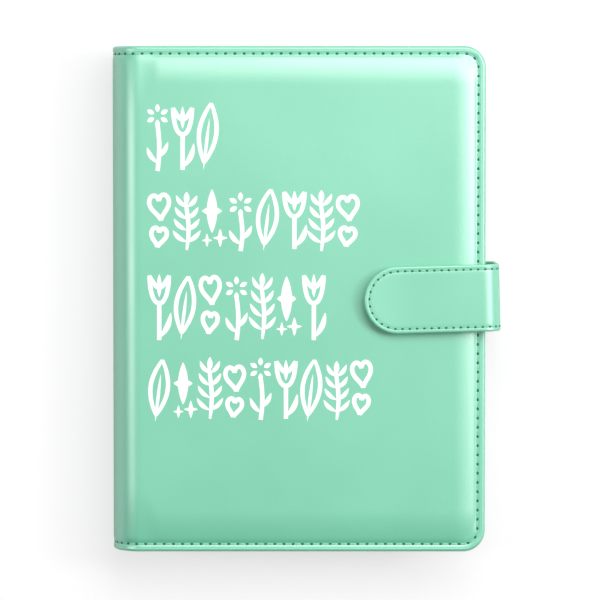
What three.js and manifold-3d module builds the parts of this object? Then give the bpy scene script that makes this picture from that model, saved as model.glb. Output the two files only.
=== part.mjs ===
// Cash envelope wallet: a padded A5 ring binder with a snap strap, closed, lying on its back cover.
// Millimetres. +X from the spine to the fore edge, +Y to the head of the book, +Z up through the front cover.
// The origin is the middle of the back cover's flat face, on the surface that it lies on.
import * as THREE from "three";
import { mergeVertices } from "three/addons/utils/BufferGeometryUtils.js";
import Module from "manifold-3d";

const wasm = await Module();
wasm.setup();

// Cover
const coverLength = 230;
const coverWidth = 170;
const closedThickness = 38;
const cornerRadius = 10;
const spineDepth = 13;
const leatherThickness = 0.9;
const boardThickness = 1.8;
const spineBoardThickness = 1.2;
const liningThickness = 0.5;
const glueLine = 0.1;
const boardSetback = 3;
const borderWidth = 4;
const padSlope = 12;
const padRise = 2;
const foamInset = 9;
const softGap = 0.3;
const foldGap = 0.3;
const edgeClearance = 0.3;

// Pockets inside the covers
const pocketThickness = 0.5;
const cardPocketWidth = 100;
const cardPocketHeight = 62;
const cardPocketStep = 16;
const cardPocketCount = 3;
const cardPocketMargin = 8;
const documentPocketWidth = 112;
const pocketEdgeMargin = 6;

// Ring mechanism
const ringInnerDiameter = 18;
const wireDiameter = 2.5;
const ringTipGap = 0.3;
const innerRingY = 35;
const ringPitch = 19;
const baseLength = 184;
const baseHalfWidth = 10.5;
const baseHeight = 4.5;
const baseCrownHalfWidth = 4.5;
const baseLipHeight = 0.8;
const baseLipWidth = 1;
const baseSheet = 0.8;
const baseSeatGap = 0.3;
const railSheet = 0.8;
const railDrop = 0.17;
const railWidth = 7.7;
const railEndSetback = 1;
const railCentreGap = 0.3;
const weldGap = 0.1;
const slotClearance = 0.4;
const slotInnerZ = 5.2;
const slotOuterZ = 9.4;
const rivetDiameter = 3;
const rivetHeadDiameter = 6;
const rivetHeadHeight = 1.2;
const rivetFlangeThickness = 0.5;
const rivetEndSetback = 8;
const rivetClearance = 0.3;
const leverSheet = 0.8;
const leverArmLength = 4.5;
const leverArmWidth = 4;
const leverTabWidth = 10;
const leverTabReach = 11.6;
const leverTabLean = THREE.MathUtils.degToRad(30);
const leverEndGap = 2.4;
const leverRailGap = 0.3;

// Envelopes on the rings
const envelopeWidth = 140;
const envelopeLength = 208;
const envelopeStackThickness = 16;
const envelopeHoleMargin = 6.5;
const envelopeHoleRadius = 2.4;

// Strap and snap
const strapWidth = 30.5;
const strapThickness = 1.8;
const strapReach = 6.5;
const strapFlapLength = 61.7;
const strapBendRadius = 7.5;
const strapTilt = THREE.MathUtils.degToRad(1.5);
const strapMidY = 1.2;
const strapTabLength = 12;
const strapFoldGap = 0.3;
const socketDiameter = 16;
const socketHeight = 1.6;
const socketBoreDiameter = 5.6;
const socketBoreDepth = 1.4;
const socketShankDiameter = 4;
const washerDiameter = 11;
const washerThickness = 0.6;
const studDiameter = 14;
const studDiscThickness = 0.9;
const studPinDiameter = 4;
const studPinLength = 1.2;
const snapGap = 0.2;

// Facets
const cornerSegments = 5;
const spineSegments = 16;
const slopeSteps = 3;
const roundSegments = 24;
const wireSides = 5;
const wireSteps = 14;
const bendSegments = 5;

// Places that follow from the sizes
const halfLength = coverLength / 2;
const xFore = coverWidth / 2;
const xFold = xFore - coverWidth + spineDepth;
const zMid = closedThickness / 2;
const strapOuterX = xFore + strapReach;
const borderTop = closedThickness - padRise;
const boardTop = borderTop - leatherThickness - glueLine;
const boardBottom = boardTop - boardThickness;
const liningTop = boardBottom - glueLine;
const liningBottom = liningTop - liningThickness;
const xBoardStart = xFold + boardSetback;
const spineBoardOffset = leatherThickness + glueLine;
const spineLiningOffset = spineBoardOffset + spineBoardThickness + glueLine;
const spineInnerOffset = spineLiningOffset + liningThickness;
const wireRadius = wireDiameter / 2;
const ringRadius = ringInnerDiameter / 2 + wireRadius;
const ringRows = [0, 1, 2].flatMap((step) => [1, -1].map((side) => side * (innerRingY + step * ringPitch)));
ringRows.sort((low, high) => low - high);
const baseHalfLength = baseLength / 2;
const rivetY = baseHalfLength - rivetEndSetback;
const zSocketBase = closedThickness + glueLine;
const zStudFace = zSocketBase + socketHeight + snapGap;
const zFlapBottom = zStudFace + studDiscThickness + glueLine;
const zFlapTop = zFlapBottom + strapThickness;
const zStrapBottom = closedThickness - boardTop;

const steel = { metalness: 0.9, roughness: 0.25 };
const colours = {
  leather: { color: 0x93dcc1, roughness: 0.45 },
  strap: { color: 0x9ce0c8, roughness: 0.45 },
  foam: { color: 0xf2efe6, roughness: 0.95 },
  board: { color: 0xb9ab90, roughness: 0.9 },
  lining: { color: 0xa5dfca, roughness: 0.7 },
  pocket: { color: 0x98d8c0, roughness: 0.6 },
  mechanism: { color: 0xd4d6d8, ...steel },
  snap: { color: 0xcfcfcc, ...steel },
  paper: { color: 0xf4f1ea, roughness: 0.85 },
};

const wallet = new THREE.Group();

function addMesh(name, geometry, finish, parent = wallet) {
  const mesh = new THREE.Mesh(geometry, new THREE.MeshStandardMaterial(colours[finish]));
  mesh.name = name;
  parent.add(mesh);
  return mesh;
}

// Solids for cutting and joining

function toSolid(geometry) {
  const bare = new THREE.BufferGeometry();
  const loose = geometry.index ? geometry.toNonIndexed() : geometry;
  bare.setAttribute("position", loose.getAttribute("position"));
  const merged = mergeVertices(bare, 1e-4);
  return new wasm.Manifold(
    new wasm.Mesh({
      numProp: 3,
      vertProperties: merged.attributes.position.array,
      triVerts: new Uint32Array(merged.index.array),
    }),
  );
}

function toGeometry(solid) {
  const mesh = solid.getMesh();
  const indexed = new THREE.BufferGeometry();
  indexed.setAttribute("position", new THREE.BufferAttribute(new Float32Array(mesh.vertProperties), 3));
  indexed.setIndex(new THREE.BufferAttribute(new Uint32Array(mesh.triVerts), 1));
  const geometry = indexed.toNonIndexed();
  geometry.computeVertexNormals();
  return geometry;
}

function cut(geometry, ...tools) {
  return toGeometry(tools.reduce((solid, tool) => solid.subtract(toSolid(tool)), toSolid(geometry)));
}

function join(geometry, ...others) {
  return toGeometry(others.reduce((solid, other) => solid.add(toSolid(other)), toSolid(geometry)));
}

function common(geometry, other) {
  return toGeometry(toSolid(geometry).intersect(toSolid(other)));
}

// A box between two corners.
function boxBetween(low, high) {
  const size = high.map((value, axis) => value - low[axis]);
  const box = new THREE.BoxGeometry(...size);
  return box.translate(...low.map((value, axis) => value + size[axis] / 2));
}

// A cylinder along X, between two values of x.
function pinAlongX(radius, xLow, xHigh, y, z) {
  const pin = new THREE.CylinderGeometry(radius, radius, xHigh - xLow, roundSegments);
  return pin.rotateZ(-Math.PI / 2).translate((xLow + xHigh) / 2, y, z);
}

// A profile drawn in the XZ plane and carried along Y, centred on y.
function profileAlongY(shape, width, y = 0) {
  const geometry = new THREE.ExtrudeGeometry(shape, {
    depth: width,
    bevelEnabled: false,
    curveSegments: bendSegments,
  });
  return geometry.rotateX(Math.PI / 2).translate(0, y + width / 2, 0);
}

// A plate drawn in the XY plane, between two heights.
function plate(shape, zLow, zHigh) {
  const geometry = new THREE.ExtrudeGeometry(shape, {
    depth: zHigh - zLow,
    bevelEnabled: false,
    curveSegments: cornerSegments,
  });
  return geometry.translate(0, 0, zLow);
}

function polygon(points) {
  return new THREE.Shape(points.map(([x, y]) => new THREE.Vector2(x, y)));
}

// The same piece on the other cover: z becomes the closed thickness less z, and each face is turned round.
function onOtherCover(geometry) {
  const flipped = geometry.index ? geometry.toNonIndexed() : geometry.clone();
  const place = flipped.getAttribute("position");
  for (let i = 0; i < place.count; i += 3) {
    const corners = [0, 2, 1].map((k) => new THREE.Vector3().fromBufferAttribute(place, i + k));
    corners.forEach((corner, k) => place.setXYZ(i + k, corner.x, corner.y, closedThickness - corner.z));
  }
  flipped.computeVertexNormals();
  return flipped;
}

// A closed body between two surfaces over one grid; outer(i, j) and inner(i, j) give their points.
function gridBody(columns, rows, outer, inner) {
  const corners = [];
  const quad = (a, b, c, d) => corners.push(a, b, c, a, c, d);
  for (let i = 0; i < columns - 1; i += 1) {
    for (let j = 0; j < rows - 1; j += 1) {
      quad(outer(i, j), outer(i + 1, j), outer(i + 1, j + 1), outer(i, j + 1));
      quad(inner(i, j), inner(i, j + 1), inner(i + 1, j + 1), inner(i + 1, j));
    }
    const last = rows - 1;
    quad(inner(i, 0), inner(i + 1, 0), outer(i + 1, 0), outer(i, 0));
    quad(outer(i, last), outer(i + 1, last), inner(i + 1, last), inner(i, last));
  }
  for (let j = 0; j < rows - 1; j += 1) {
    const last = columns - 1;
    quad(outer(0, j), outer(0, j + 1), inner(0, j + 1), inner(0, j));
    quad(inner(last, j), inner(last, j + 1), outer(last, j + 1), outer(last, j));
  }
  return new THREE.BufferGeometry().setFromPoints(corners);
}

// Pad: flat in the middle, falling to a flat border along the head, the tail and the fore edge

function padRamp(distance) {
  return THREE.MathUtils.smoothstep(distance, borderWidth, borderWidth + padSlope);
}

function padHeight(x, y) {
  return padRise * padRamp(xFore - x) * padRamp(halfLength - Math.abs(y));
}

const slopeDistances = [0, borderWidth];
for (let step = 1; step <= slopeSteps; step += 1) {
  slopeDistances.push(borderWidth + (padSlope * step) / slopeSteps);
}
const lengthRows = [
  ...slopeDistances.map((distance) => distance - halfLength),
  ...slopeDistances.map((distance) => halfLength - distance).reverse(),
];

function panelColumns(xStart) {
  return [xStart, ...slopeDistances.map((distance) => xFore - distance).reverse()];
}

function sheetBody(xs, ys, top, bottom) {
  const at = (height) => (i, j) => new THREE.Vector3(xs[i], ys[j], height(xs[i], ys[j]));
  return gridBody(xs.length, ys.length, at(top), at(bottom));
}

// A cover's outline, moved in from its three free edges; its two corners at the fore edge are round.
function coverOutline(inset, xStart) {
  const yEdge = halfLength - inset;
  const xEdge = xFore - inset;
  const radius = Math.max(cornerRadius - inset, 1);
  const shape = new THREE.Shape();
  shape.moveTo(xStart, -yEdge);
  shape.lineTo(xEdge - radius, -yEdge);
  shape.absarc(xEdge - radius, -yEdge + radius, radius, -Math.PI / 2, 0, false);
  shape.lineTo(xEdge, yEdge - radius);
  shape.absarc(xEdge - radius, yEdge - radius, radius, 0, Math.PI / 2, false);
  shape.lineTo(xStart, yEdge);
  return shape;
}

// Cover pieces, drawn for the front cover

function panelLeather(xStart) {
  const top = (x, y) => borderTop + padHeight(x, y);
  const under = (x, y) => top(x, y) - leatherThickness;
  const sheet = sheetBody(panelColumns(xStart), lengthRows, top, under);
  const whole = plate(coverOutline(0, xStart), liningBottom, closedThickness + 1);
  const hollow = plate(coverOutline(leatherThickness, xStart - 1), liningBottom - 1, closedThickness + 2);
  const turnedEdge = common(cut(whole, hollow), boxBetween([xStart, -halfLength, liningBottom], [xFore, halfLength, borderTop]));
  return join(common(sheet, whole), turnedEdge);
}

function panelFoam() {
  const top = (x, y) => borderTop + padHeight(x, y) - leatherThickness - softGap;
  const bottom = () => boardTop + glueLine;
  const distances = [foamInset, ...slopeDistances.filter((distance) => distance > foamInset)];
  const xs = [xBoardStart, ...distances.map((distance) => xFore - distance).reverse()];
  const ys = [
    ...distances.map((distance) => distance - halfLength),
    ...distances.map((distance) => halfLength - distance).reverse(),
  ];
  return common(sheetBody(xs, ys, top, bottom), plate(coverOutline(foamInset, xBoardStart), 0, closedThickness));
}

function panelBoard() {
  return plate(coverOutline(leatherThickness + edgeClearance, xBoardStart), boardBottom, boardTop);
}

// The lining lies on the board and turns up beside its edge, to the leather at the fold.
function panelLining() {
  const flat = coverOutline(leatherThickness + edgeClearance, xBoardStart - liningThickness - glueLine);
  const lipRight = xBoardStart - glueLine;
  const lip = boxBetween(
    [lipRight - liningThickness, -halfLength + leatherThickness + edgeClearance, liningBottom],
    [lipRight, halfLength - leatherThickness - edgeClearance, boardTop],
  );
  return join(plate(flat, liningBottom, liningTop), lip);
}

// The spine, a half ellipse from fold to fold; offset is the depth under the leather's outer face.
function spinePoint(share, y, offset) {
  const angle = -Math.PI / 2 - Math.PI * share;
  const rise = zMid - padRise + padRise * padRamp(halfLength - Math.abs(y));
  const normal = new THREE.Vector2(Math.cos(angle) / spineDepth, Math.sin(angle) / rise).normalize();
  const x = xFold + spineDepth * Math.cos(angle) - normal.x * offset;
  return new THREE.Vector3(x, y, zMid + rise * Math.sin(angle) - normal.y * offset);
}

function spineBody(outerOffset, innerOffset, endInset, startShare, endShare) {
  const ys = lengthRows.map((y) => THREE.MathUtils.clamp(y, endInset - halfLength, halfLength - endInset));
  const share = (i) => THREE.MathUtils.lerp(startShare, endShare, i / spineSegments);
  return gridBody(
    spineSegments + 1,
    ys.length,
    (i, j) => spinePoint(share(i), ys[j], outerOffset),
    (i, j) => spinePoint(share(i), ys[j], innerOffset),
  );
}

// The share of the half ellipse at which a layer of the spine lies a distance to the left of the fold.
function spineShareAt(distance) {
  return Math.asin(distance / spineDepth) / Math.PI;
}

function spineInnerX(halfWidth) {
  const depth = spineDepth - spineInnerOffset;
  const rise = zMid - spineInnerOffset;
  return xFold - depth * Math.sqrt(1 - (halfWidth / rise) ** 2);
}

// Strap: one path from the back cover's seam round the fore edge, in a frame turned by its tilt

const strapGroup = new THREE.Group();
strapGroup.name = "strap";
strapGroup.position.set(strapOuterX, strapMidY, 0);
strapGroup.rotation.z = strapTilt;
wallet.add(strapGroup);
const bendCentreX = -strapBendRadius;
const lowerBendZ = zStrapBottom + strapBendRadius;
const upperBendZ = zFlapTop - strapBendRadius;
const strapInnerRadius = strapBendRadius - strapThickness;
const foldHalfAngle = strapFoldGap / 2 / strapInnerRadius;
const strapTipLocalX = -strapFlapLength;
const snapLocalX = strapTipLocalX + strapWidth / 2;

// A band of the strap's thickness: a start point, an arc round a bend, and an end point.
function strapArc(shape, centreZ, from, to) {
  shape.absarc(bendCentreX, centreZ, strapBendRadius, from, to, false);
}

function strapRoot() {
  const start = xFore - strapTabLength - strapOuterX;
  const stop = -Math.PI / 4 - foldHalfAngle;
  const shape = new THREE.Shape();
  shape.moveTo(start, zStrapBottom);
  strapArc(shape, lowerBendZ, -Math.PI / 2, stop);
  shape.absarc(bendCentreX, lowerBendZ, strapInnerRadius, stop, -Math.PI / 2, true);
  shape.lineTo(start, zStrapBottom + strapThickness);
  return profileAlongY(shape, strapWidth);
}

function strapSide() {
  const start = -Math.PI / 4 + foldHalfAngle;
  const stop = Math.PI / 4 - foldHalfAngle;
  const shape = new THREE.Shape();
  shape.absarc(bendCentreX, lowerBendZ, strapBendRadius, start, 0, false);
  strapArc(shape, upperBendZ, 0, stop);
  shape.absarc(bendCentreX, upperBendZ, strapInnerRadius, stop, 0, true);
  shape.absarc(bendCentreX, lowerBendZ, strapInnerRadius, 0, start, true);
  return profileAlongY(shape, strapWidth);
}

function strapFlap() {
  const start = Math.PI / 4 + foldHalfAngle;
  const shape = new THREE.Shape();
  strapArc(shape, upperBendZ, start, Math.PI / 2);
  shape.lineTo(strapTipLocalX, zFlapTop);
  shape.lineTo(strapTipLocalX, zFlapBottom);
  shape.absarc(bendCentreX, upperBendZ, strapInnerRadius, Math.PI / 2, start, true);
  const outline = new THREE.Shape();
  outline.moveTo(0, -strapWidth / 2);
  outline.lineTo(0, strapWidth / 2);
  outline.lineTo(snapLocalX, strapWidth / 2);
  outline.absarc(snapLocalX, 0, strapWidth / 2, Math.PI / 2, (3 * Math.PI) / 2, false);
  return common(profileAlongY(shape, strapWidth), plate(outline, upperBendZ, zFlapTop + 1));
}

// A turned piece on the snap's axis; the profile's points are radius and height.
function snapPiece(profile) {
  const points = profile.map(([radius, height]) => new THREE.Vector2(radius, height));
  return new THREE.LatheGeometry(points, roundSegments).rotateX(Math.PI / 2);
}

const snapPlace = new THREE.Vector3(snapLocalX, 0, 0).applyEuler(strapGroup.rotation).add(strapGroup.position);

// Front cover

const snapHole = (radius, zLow, zHigh) => {
  const hole = new THREE.CylinderGeometry(radius, radius, zHigh - zLow, roundSegments);
  return hole.rotateX(Math.PI / 2).translate(snapPlace.x, snapPlace.y, (zLow + zHigh) / 2);
};
const leatherUnder = closedThickness - leatherThickness;
const washerTop = leatherUnder - glueLine;
const washerBottom = washerTop - washerThickness;
const shankHole = snapHole(socketShankDiameter / 2 + rivetClearance, washerBottom, closedThickness + 1);
const washerHole = snapHole(washerDiameter / 2 + rivetClearance, 0, closedThickness);
addMesh("front_cover_leather", cut(panelLeather(xFold + foldGap / 2), shankHole), "leather");
addMesh("front_foam_pad", cut(panelFoam(), washerHole), "foam");
addMesh("front_board", panelBoard(), "board");
addMesh("front_lining", panelLining(), "lining");

const socketRadius = socketDiameter / 2;
const socketTop = zSocketBase + socketHeight;
const socket = snapPiece([
  [0, washerTop],
  [socketShankDiameter / 2, washerTop],
  [socketShankDiameter / 2, zSocketBase],
  [socketRadius, zSocketBase],
  [socketRadius, socketTop - socketHeight / 4],
  [socketRadius - socketHeight / 4, socketTop],
  [socketBoreDiameter / 2, socketTop],
  [socketBoreDiameter / 2, socketTop - socketBoreDepth],
  [0, socketTop - socketBoreDepth],
]);
addMesh("snap_socket", socket.translate(snapPlace.x, snapPlace.y, 0), "snap");
const washer = snapPiece([
  [0, washerBottom],
  [washerDiameter / 2, washerBottom],
  [washerDiameter / 2, washerTop - glueLine],
  [0, washerTop - glueLine],
]);
addMesh("snap_washer", washer.translate(snapPlace.x, snapPlace.y, 0), "snap");

const pocketTop = liningBottom - glueLine;
const cardPocketRight = xFore - cardPocketMargin;
for (let step = 0; step < cardPocketCount; step += 1) {
  const zHigh = pocketTop - step * (pocketThickness + glueLine);
  const yLow = -halfLength + cardPocketMargin;
  const yHigh = yLow + cardPocketHeight + (cardPocketCount - 1 - step) * cardPocketStep;
  const low = [cardPocketRight - cardPocketWidth, yLow, zHigh - pocketThickness];
  addMesh(`card_pocket_${step + 1}`, boxBetween(low, [cardPocketRight, yHigh, zHigh]), "pocket");
}

// Back cover and spine

const strapNotch = (xLow, zLow, zHigh) => {
  const half = strapWidth / 2 + edgeClearance;
  const notch = boxBetween([xLow - strapOuterX, -half, zLow], [0, half, zHigh]);
  return notch.rotateZ(strapTilt).translate(strapOuterX, strapMidY, 0);
};
const backLeatherInside = closedThickness - boardTop - glueLine;
const backPanel = onOtherCover(panelLeather(xFold - foldGap));
const spineLeather = spineBody(0, leatherThickness, 0, 0, 1 - spineShareAt(foldGap / 2));
const rearLeather = cut(
  join(backPanel, spineLeather),
  strapNotch(xFore - 2 * leatherThickness, backLeatherInside, closedThickness),
);
addMesh("rear_cover_leather", rearLeather, "leather");
addMesh("back_foam_pad", onOtherCover(panelFoam()), "foam");
const boardNotch = strapNotch(xFore - strapTabLength - edgeClearance, 0, closedThickness);
addMesh("back_board", cut(onOtherCover(panelBoard()), boardNotch), "board");
addMesh("back_lining", onOtherCover(panelLining()), "lining");

const documentPocketTop = closedThickness - pocketTop + pocketThickness;
const documentPocketRight = xFore - pocketEdgeMargin;
const documentPocket = boxBetween(
  [documentPocketRight - documentPocketWidth, pocketEdgeMargin - halfLength, closedThickness - pocketTop],
  [documentPocketRight, halfLength - pocketEdgeMargin, documentPocketTop],
);
addMesh("document_pocket", documentPocket, "pocket");

const boardShare = spineShareAt(boardSetback);
const xSpine = xFold - spineDepth;
const flangeOuterX = xSpine + spineBoardOffset + edgeClearance;
const flangeInnerX = flangeOuterX + rivetFlangeThickness;
const rivetHoles = (radius, xLow, xHigh) => [-1, 1].map((side) => pinAlongX(radius, xLow, xHigh, side * rivetY, zMid));
const spineBoard = cut(
  spineBody(spineBoardOffset, spineBoardOffset + spineBoardThickness, leatherThickness, boardShare, 1 - boardShare),
  ...rivetHoles(rivetDiameter / 2 + rivetClearance, xSpine, xFold),
  ...rivetHoles(rivetHeadDiameter / 2 + rivetClearance, xSpine, flangeInnerX + glueLine),
);
addMesh("spine_board", spineBoard, "board");
const liningShare = spineShareAt(foldGap);
const spineLining = cut(
  spineBody(spineLiningOffset, spineInnerOffset, leatherThickness, liningShare, 1 - liningShare),
  ...rivetHoles(rivetDiameter / 2 + rivetClearance, xSpine, xFold),
);
addMesh("spine_lining", spineLining, "lining");

// Ring mechanism, on the spine's inner face

const xLip = spineInnerX(baseHalfWidth) + baseSeatGap;
const xCrown = xLip + baseHeight;
const slopeFoot = baseHalfWidth - baseLipWidth;
const baseOuter = [
  [xLip, -baseHalfWidth],
  [xLip, -slopeFoot],
  [xCrown - baseSheet, -baseCrownHalfWidth],
  [xCrown - baseSheet, baseCrownHalfWidth],
  [xLip, slopeFoot],
  [xLip, baseHalfWidth],
  [xLip + baseLipHeight, baseHalfWidth],
  [xLip + baseLipHeight, slopeFoot],
  [xCrown, baseCrownHalfWidth],
  [xCrown, -baseCrownHalfWidth],
  [xLip + baseLipHeight, -slopeFoot],
  [xLip + baseLipHeight, -baseHalfWidth],
];
const basePlate = profileAlongY(polygon(baseOuter.map(([x, z]) => [x, zMid + z]).reverse()), baseLength);
const ringSlots = ringRows.flatMap((y) =>
  [-1, 1].map((side) => {
    const zs = [zMid + side * slotInnerZ, zMid + side * slotOuterZ].sort((low, high) => low - high);
    const half = wireRadius + slotClearance;
    return boxBetween([xLip - 1, y - half, zs[0]], [xCrown + 1, y + half, zs[1]]);
  }),
);
const crownHoles = rivetHoles(rivetDiameter / 2 + rivetClearance, xLip, xCrown + 1);
addMesh("ring_base_plate", cut(basePlate, ...ringSlots, ...crownHoles), "mechanism");

const rivetProfile = [
  [0, flangeOuterX],
  [rivetHeadDiameter / 2, flangeOuterX],
  [rivetHeadDiameter / 2, flangeInnerX],
  [rivetDiameter / 2, flangeInnerX],
  [rivetDiameter / 2, xCrown + glueLine],
  [rivetHeadDiameter / 2, xCrown + glueLine],
  [rivetHeadDiameter / 2.6, xCrown + glueLine + rivetHeadHeight * 0.7],
  [0, xCrown + glueLine + rivetHeadHeight],
];
for (const [name, side] of [["ring_rivet_tail", -1], ["ring_rivet_head", 1]]) {
  const points = rivetProfile.map(([radius, x]) => new THREE.Vector2(radius, x));
  const rivet = new THREE.LatheGeometry(points, roundSegments).rotateZ(-Math.PI / 2);
  addMesh(name, rivet.translate(0, side * rivetY, zMid), "mechanism");
}

// Rails under the base plate: hinged at its lips, with the half rings welded on.
const railTop = xLip + railDrop;
const railBottom = railTop - railSheet;
const railPivotZ = railCentreGap + railWidth + foldGap;
const railHalfLength = baseHalfLength - railEndSetback;

function rail(side) {
  const zs = [zMid + side * railCentreGap, zMid + side * (railCentreGap + railWidth)].sort((low, high) => low - high);
  const strip = boxBetween([railBottom, -railHalfLength, zs[0]], [railTop, railHalfLength, zs[1]]);
  const half = rivetDiameter / 2 + 2 * rivetClearance;
  const notches = [-1, 1].map((end) =>
    boxBetween([railBottom - 1, end * rivetY - half, zMid - half], [railTop + 1, end * rivetY + half, zMid + half]),
  );
  return cut(strip, ...notches);
}

// Ring wire: a circular arc in the XZ plane, from its tip at the fore side to the rail.
const ringCentreX = railTop + weldGap + ringRadius * Math.cos(Math.PI / 6);

class RingArc extends THREE.Curve {
  constructor(side, y) {
    super();
    this.side = side;
    this.y = y;
  }

  getPoint(share, target = new THREE.Vector3()) {
    const tip = ringTipGap / 2 / ringRadius;
    const angle = this.side * THREE.MathUtils.lerp(tip, (5 * Math.PI) / 6 + 2 * wireRadius / ringRadius, share);
    return target.set(ringCentreX + ringRadius * Math.cos(angle), this.y, zMid + ringRadius * Math.sin(angle));
  }
}

function halfRing(side, y) {
  const section = new THREE.Shape().absarc(0, 0, wireRadius, 0, 2 * Math.PI, false);
  const wire = new THREE.ExtrudeGeometry(section, {
    extrudePath: new RingArc(side, y),
    steps: wireSteps,
    curveSegments: wireSides,
    bevelEnabled: false,
  });
  const belowRail = boxBetween(
    [railBottom - ringRadius, y - ringRadius, zMid - 2 * ringRadius],
    [railTop + weldGap, y + ringRadius, zMid + 2 * ringRadius],
  );
  return cut(wire, belowRail);
}

for (const [half, side] of [["front", 1], ["back", -1]]) {
  addMesh(`ring_rail_${half}`, rail(side), "mechanism");
  ringRows.forEach((y, index) => addMesh(`half_ring_${half}_${index + 1}`, halfRing(side, y), "mechanism"));
}

// Opening levers: an arm under the rails' ends and a thumb tab that leans outwards.
const leverTop = railBottom - leverRailGap;
const leverBottom = leverTop - leverSheet;
const leverPivotY = baseHalfLength + leverEndGap;

function lever(end) {
  const armStart = leverPivotY - leverArmLength;
  const lean = [Math.cos(leverTabLean) * leverTabReach, Math.sin(leverTabLean) * leverTabReach];
  const across = [Math.sin(leverTabLean) * leverSheet, Math.cos(leverTabLean) * leverSheet];
  const tab = [
    [leverBottom, leverPivotY - leverSheet],
    [leverTop, leverPivotY - leverSheet],
    [leverTop + lean[0], leverPivotY - leverSheet + lean[1]],
    [leverTop + lean[0] - across[0], leverPivotY - leverSheet + lean[1] + across[1]],
    [leverBottom, leverPivotY + leverSheet / 2],
  ];
  const outline = polygon((end > 0 ? tab : [...tab].reverse()).map(([x, y]) => [x, end * y]));
  const arm = [end * armStart, end * leverPivotY].sort((low, high) => low - high);
  const armBox = boxBetween(
    [leverBottom, arm[0], zMid - leverArmWidth / 2],
    [leverTop, arm[1], zMid + leverArmWidth / 2],
  );
  return join(plate(outline, zMid - leverTabWidth / 2, zMid + leverTabWidth / 2), armBox);
}

addMesh("opening_lever_head", lever(1), "mechanism");
addMesh("opening_lever_tail", lever(-1), "mechanism");

// Envelopes: one stack of leaves that hangs on the rings and sags to the back cover towards the fore edge

const holeRadiusOfArc = ringRadius - wireRadius + envelopeHoleRadius - softGap;
const stackHalf = envelopeStackThickness / 2;
const sag = zMid - stackHalf - (documentPocketTop + softGap);
const sagStart = ringCentreX + ringRadius + envelopeHoleMargin;
const sagEnd = sagStart + envelopeWidth / 2;

// The leaves' left edges follow the rings' curve, so each leaf is moved by its own amount.
function leafShift(height) {
  return ringCentreX + Math.sqrt(holeRadiusOfArc ** 2 - height ** 2) - envelopeHoleMargin;
}

function envelopeStack() {
  const side = (height, atFore) => {
    const left = leafShift(height);
    const stations = [0];
    const bends = 6;
    for (let step = 0; step <= bends; step += 1) {
      stations.push(THREE.MathUtils.lerp(sagStart, sagEnd, step / bends) - left);
    }
    stations.push(envelopeWidth);
    const points = stations.map((along) => {
      const drop = sag * THREE.MathUtils.smoothstep(left + along, sagStart, sagEnd);
      return [left + along, zMid + height - drop];
    });
    return atFore ? points.reverse() : points;
  };
  const layers = [-1, -0.5, 0, 0.5, 1].map((share) => share * stackHalf);
  const foreEdge = layers.slice(1, -1).map((height) => [leafShift(height) + envelopeWidth, zMid + height - sag]);
  const spineEdge = layers.slice(1, -1).map((height) => [leafShift(height), zMid + height]).reverse();
  const outline = [...side(-stackHalf, false), ...foreEdge, ...side(stackHalf, true), ...spineEdge];
  const channels = ringRows.map((y) => {
    const channel = new THREE.TorusGeometry(holeRadiusOfArc, envelopeHoleRadius, 10, 36);
    return channel.rotateX(Math.PI / 2).translate(ringCentreX, y, zMid);
  });
  return cut(profileAlongY(polygon(outline), envelopeLength), ...channels);
}

addMesh("cash_envelopes", envelopeStack(), "paper");

// Strap and stud

addMesh("strap_root", strapRoot(), "strap", strapGroup);
addMesh("strap_side", strapSide(), "strap", strapGroup);
addMesh("strap_flap", strapFlap(), "strap", strapGroup);
const studTop = zFlapBottom - glueLine;
const stud = snapPiece([
  [0, zStudFace - studPinLength],
  [studPinDiameter / 2, zStudFace - studPinLength],
  [studPinDiameter / 2, zStudFace],
  [studDiameter / 2, zStudFace],
  [studDiameter / 2, studTop],
  [0, studTop],
]);
addMesh("snap_stud", stud.translate(snapLocalX, 0, 0), "snap", strapGroup);

export default wallet;
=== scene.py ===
"""Cash envelope wallet: the looks of a padded ring binder in mint leather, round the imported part."""

import logging
import math
from dataclasses import dataclass, field, fields, replace
from enum import Enum
from typing import Callable, Sequence

import bmesh
import bpy
import numpy as np
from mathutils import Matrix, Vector


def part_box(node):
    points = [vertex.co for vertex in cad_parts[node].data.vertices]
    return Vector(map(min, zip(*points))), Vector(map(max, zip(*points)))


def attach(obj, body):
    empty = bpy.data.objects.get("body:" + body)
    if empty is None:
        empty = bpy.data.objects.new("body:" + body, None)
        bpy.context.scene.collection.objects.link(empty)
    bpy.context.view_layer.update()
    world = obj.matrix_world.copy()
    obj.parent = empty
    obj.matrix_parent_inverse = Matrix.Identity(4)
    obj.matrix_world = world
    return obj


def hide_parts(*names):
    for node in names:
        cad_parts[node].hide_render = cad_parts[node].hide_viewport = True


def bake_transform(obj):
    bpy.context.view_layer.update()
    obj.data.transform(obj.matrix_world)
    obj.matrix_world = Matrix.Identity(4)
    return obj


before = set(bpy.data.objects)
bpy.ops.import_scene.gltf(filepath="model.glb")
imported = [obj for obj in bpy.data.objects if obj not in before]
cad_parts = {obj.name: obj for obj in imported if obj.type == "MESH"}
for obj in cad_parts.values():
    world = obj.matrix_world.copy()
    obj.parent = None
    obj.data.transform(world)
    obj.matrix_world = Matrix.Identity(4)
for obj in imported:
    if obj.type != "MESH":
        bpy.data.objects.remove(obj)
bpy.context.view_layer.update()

logging.basicConfig(level=logging.INFO, format="%(message)s")
log = logging.getLogger("wallet")

MM = 0.001

# How far the rounded spine stands out from the fold, in millimetres
SPINE_REACH = 13.0


# Sizes taken from the frame


def box_mm(node: str) -> tuple[np.ndarray, np.ndarray]:
    """Gives a CAD node's two corners in millimetres.

    Args:
        node: The CAD node's name.

    Returns:
        The lowest and the highest corner.
    """
    low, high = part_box(node)
    return np.array(low) / MM, np.array(high) / MM


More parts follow.
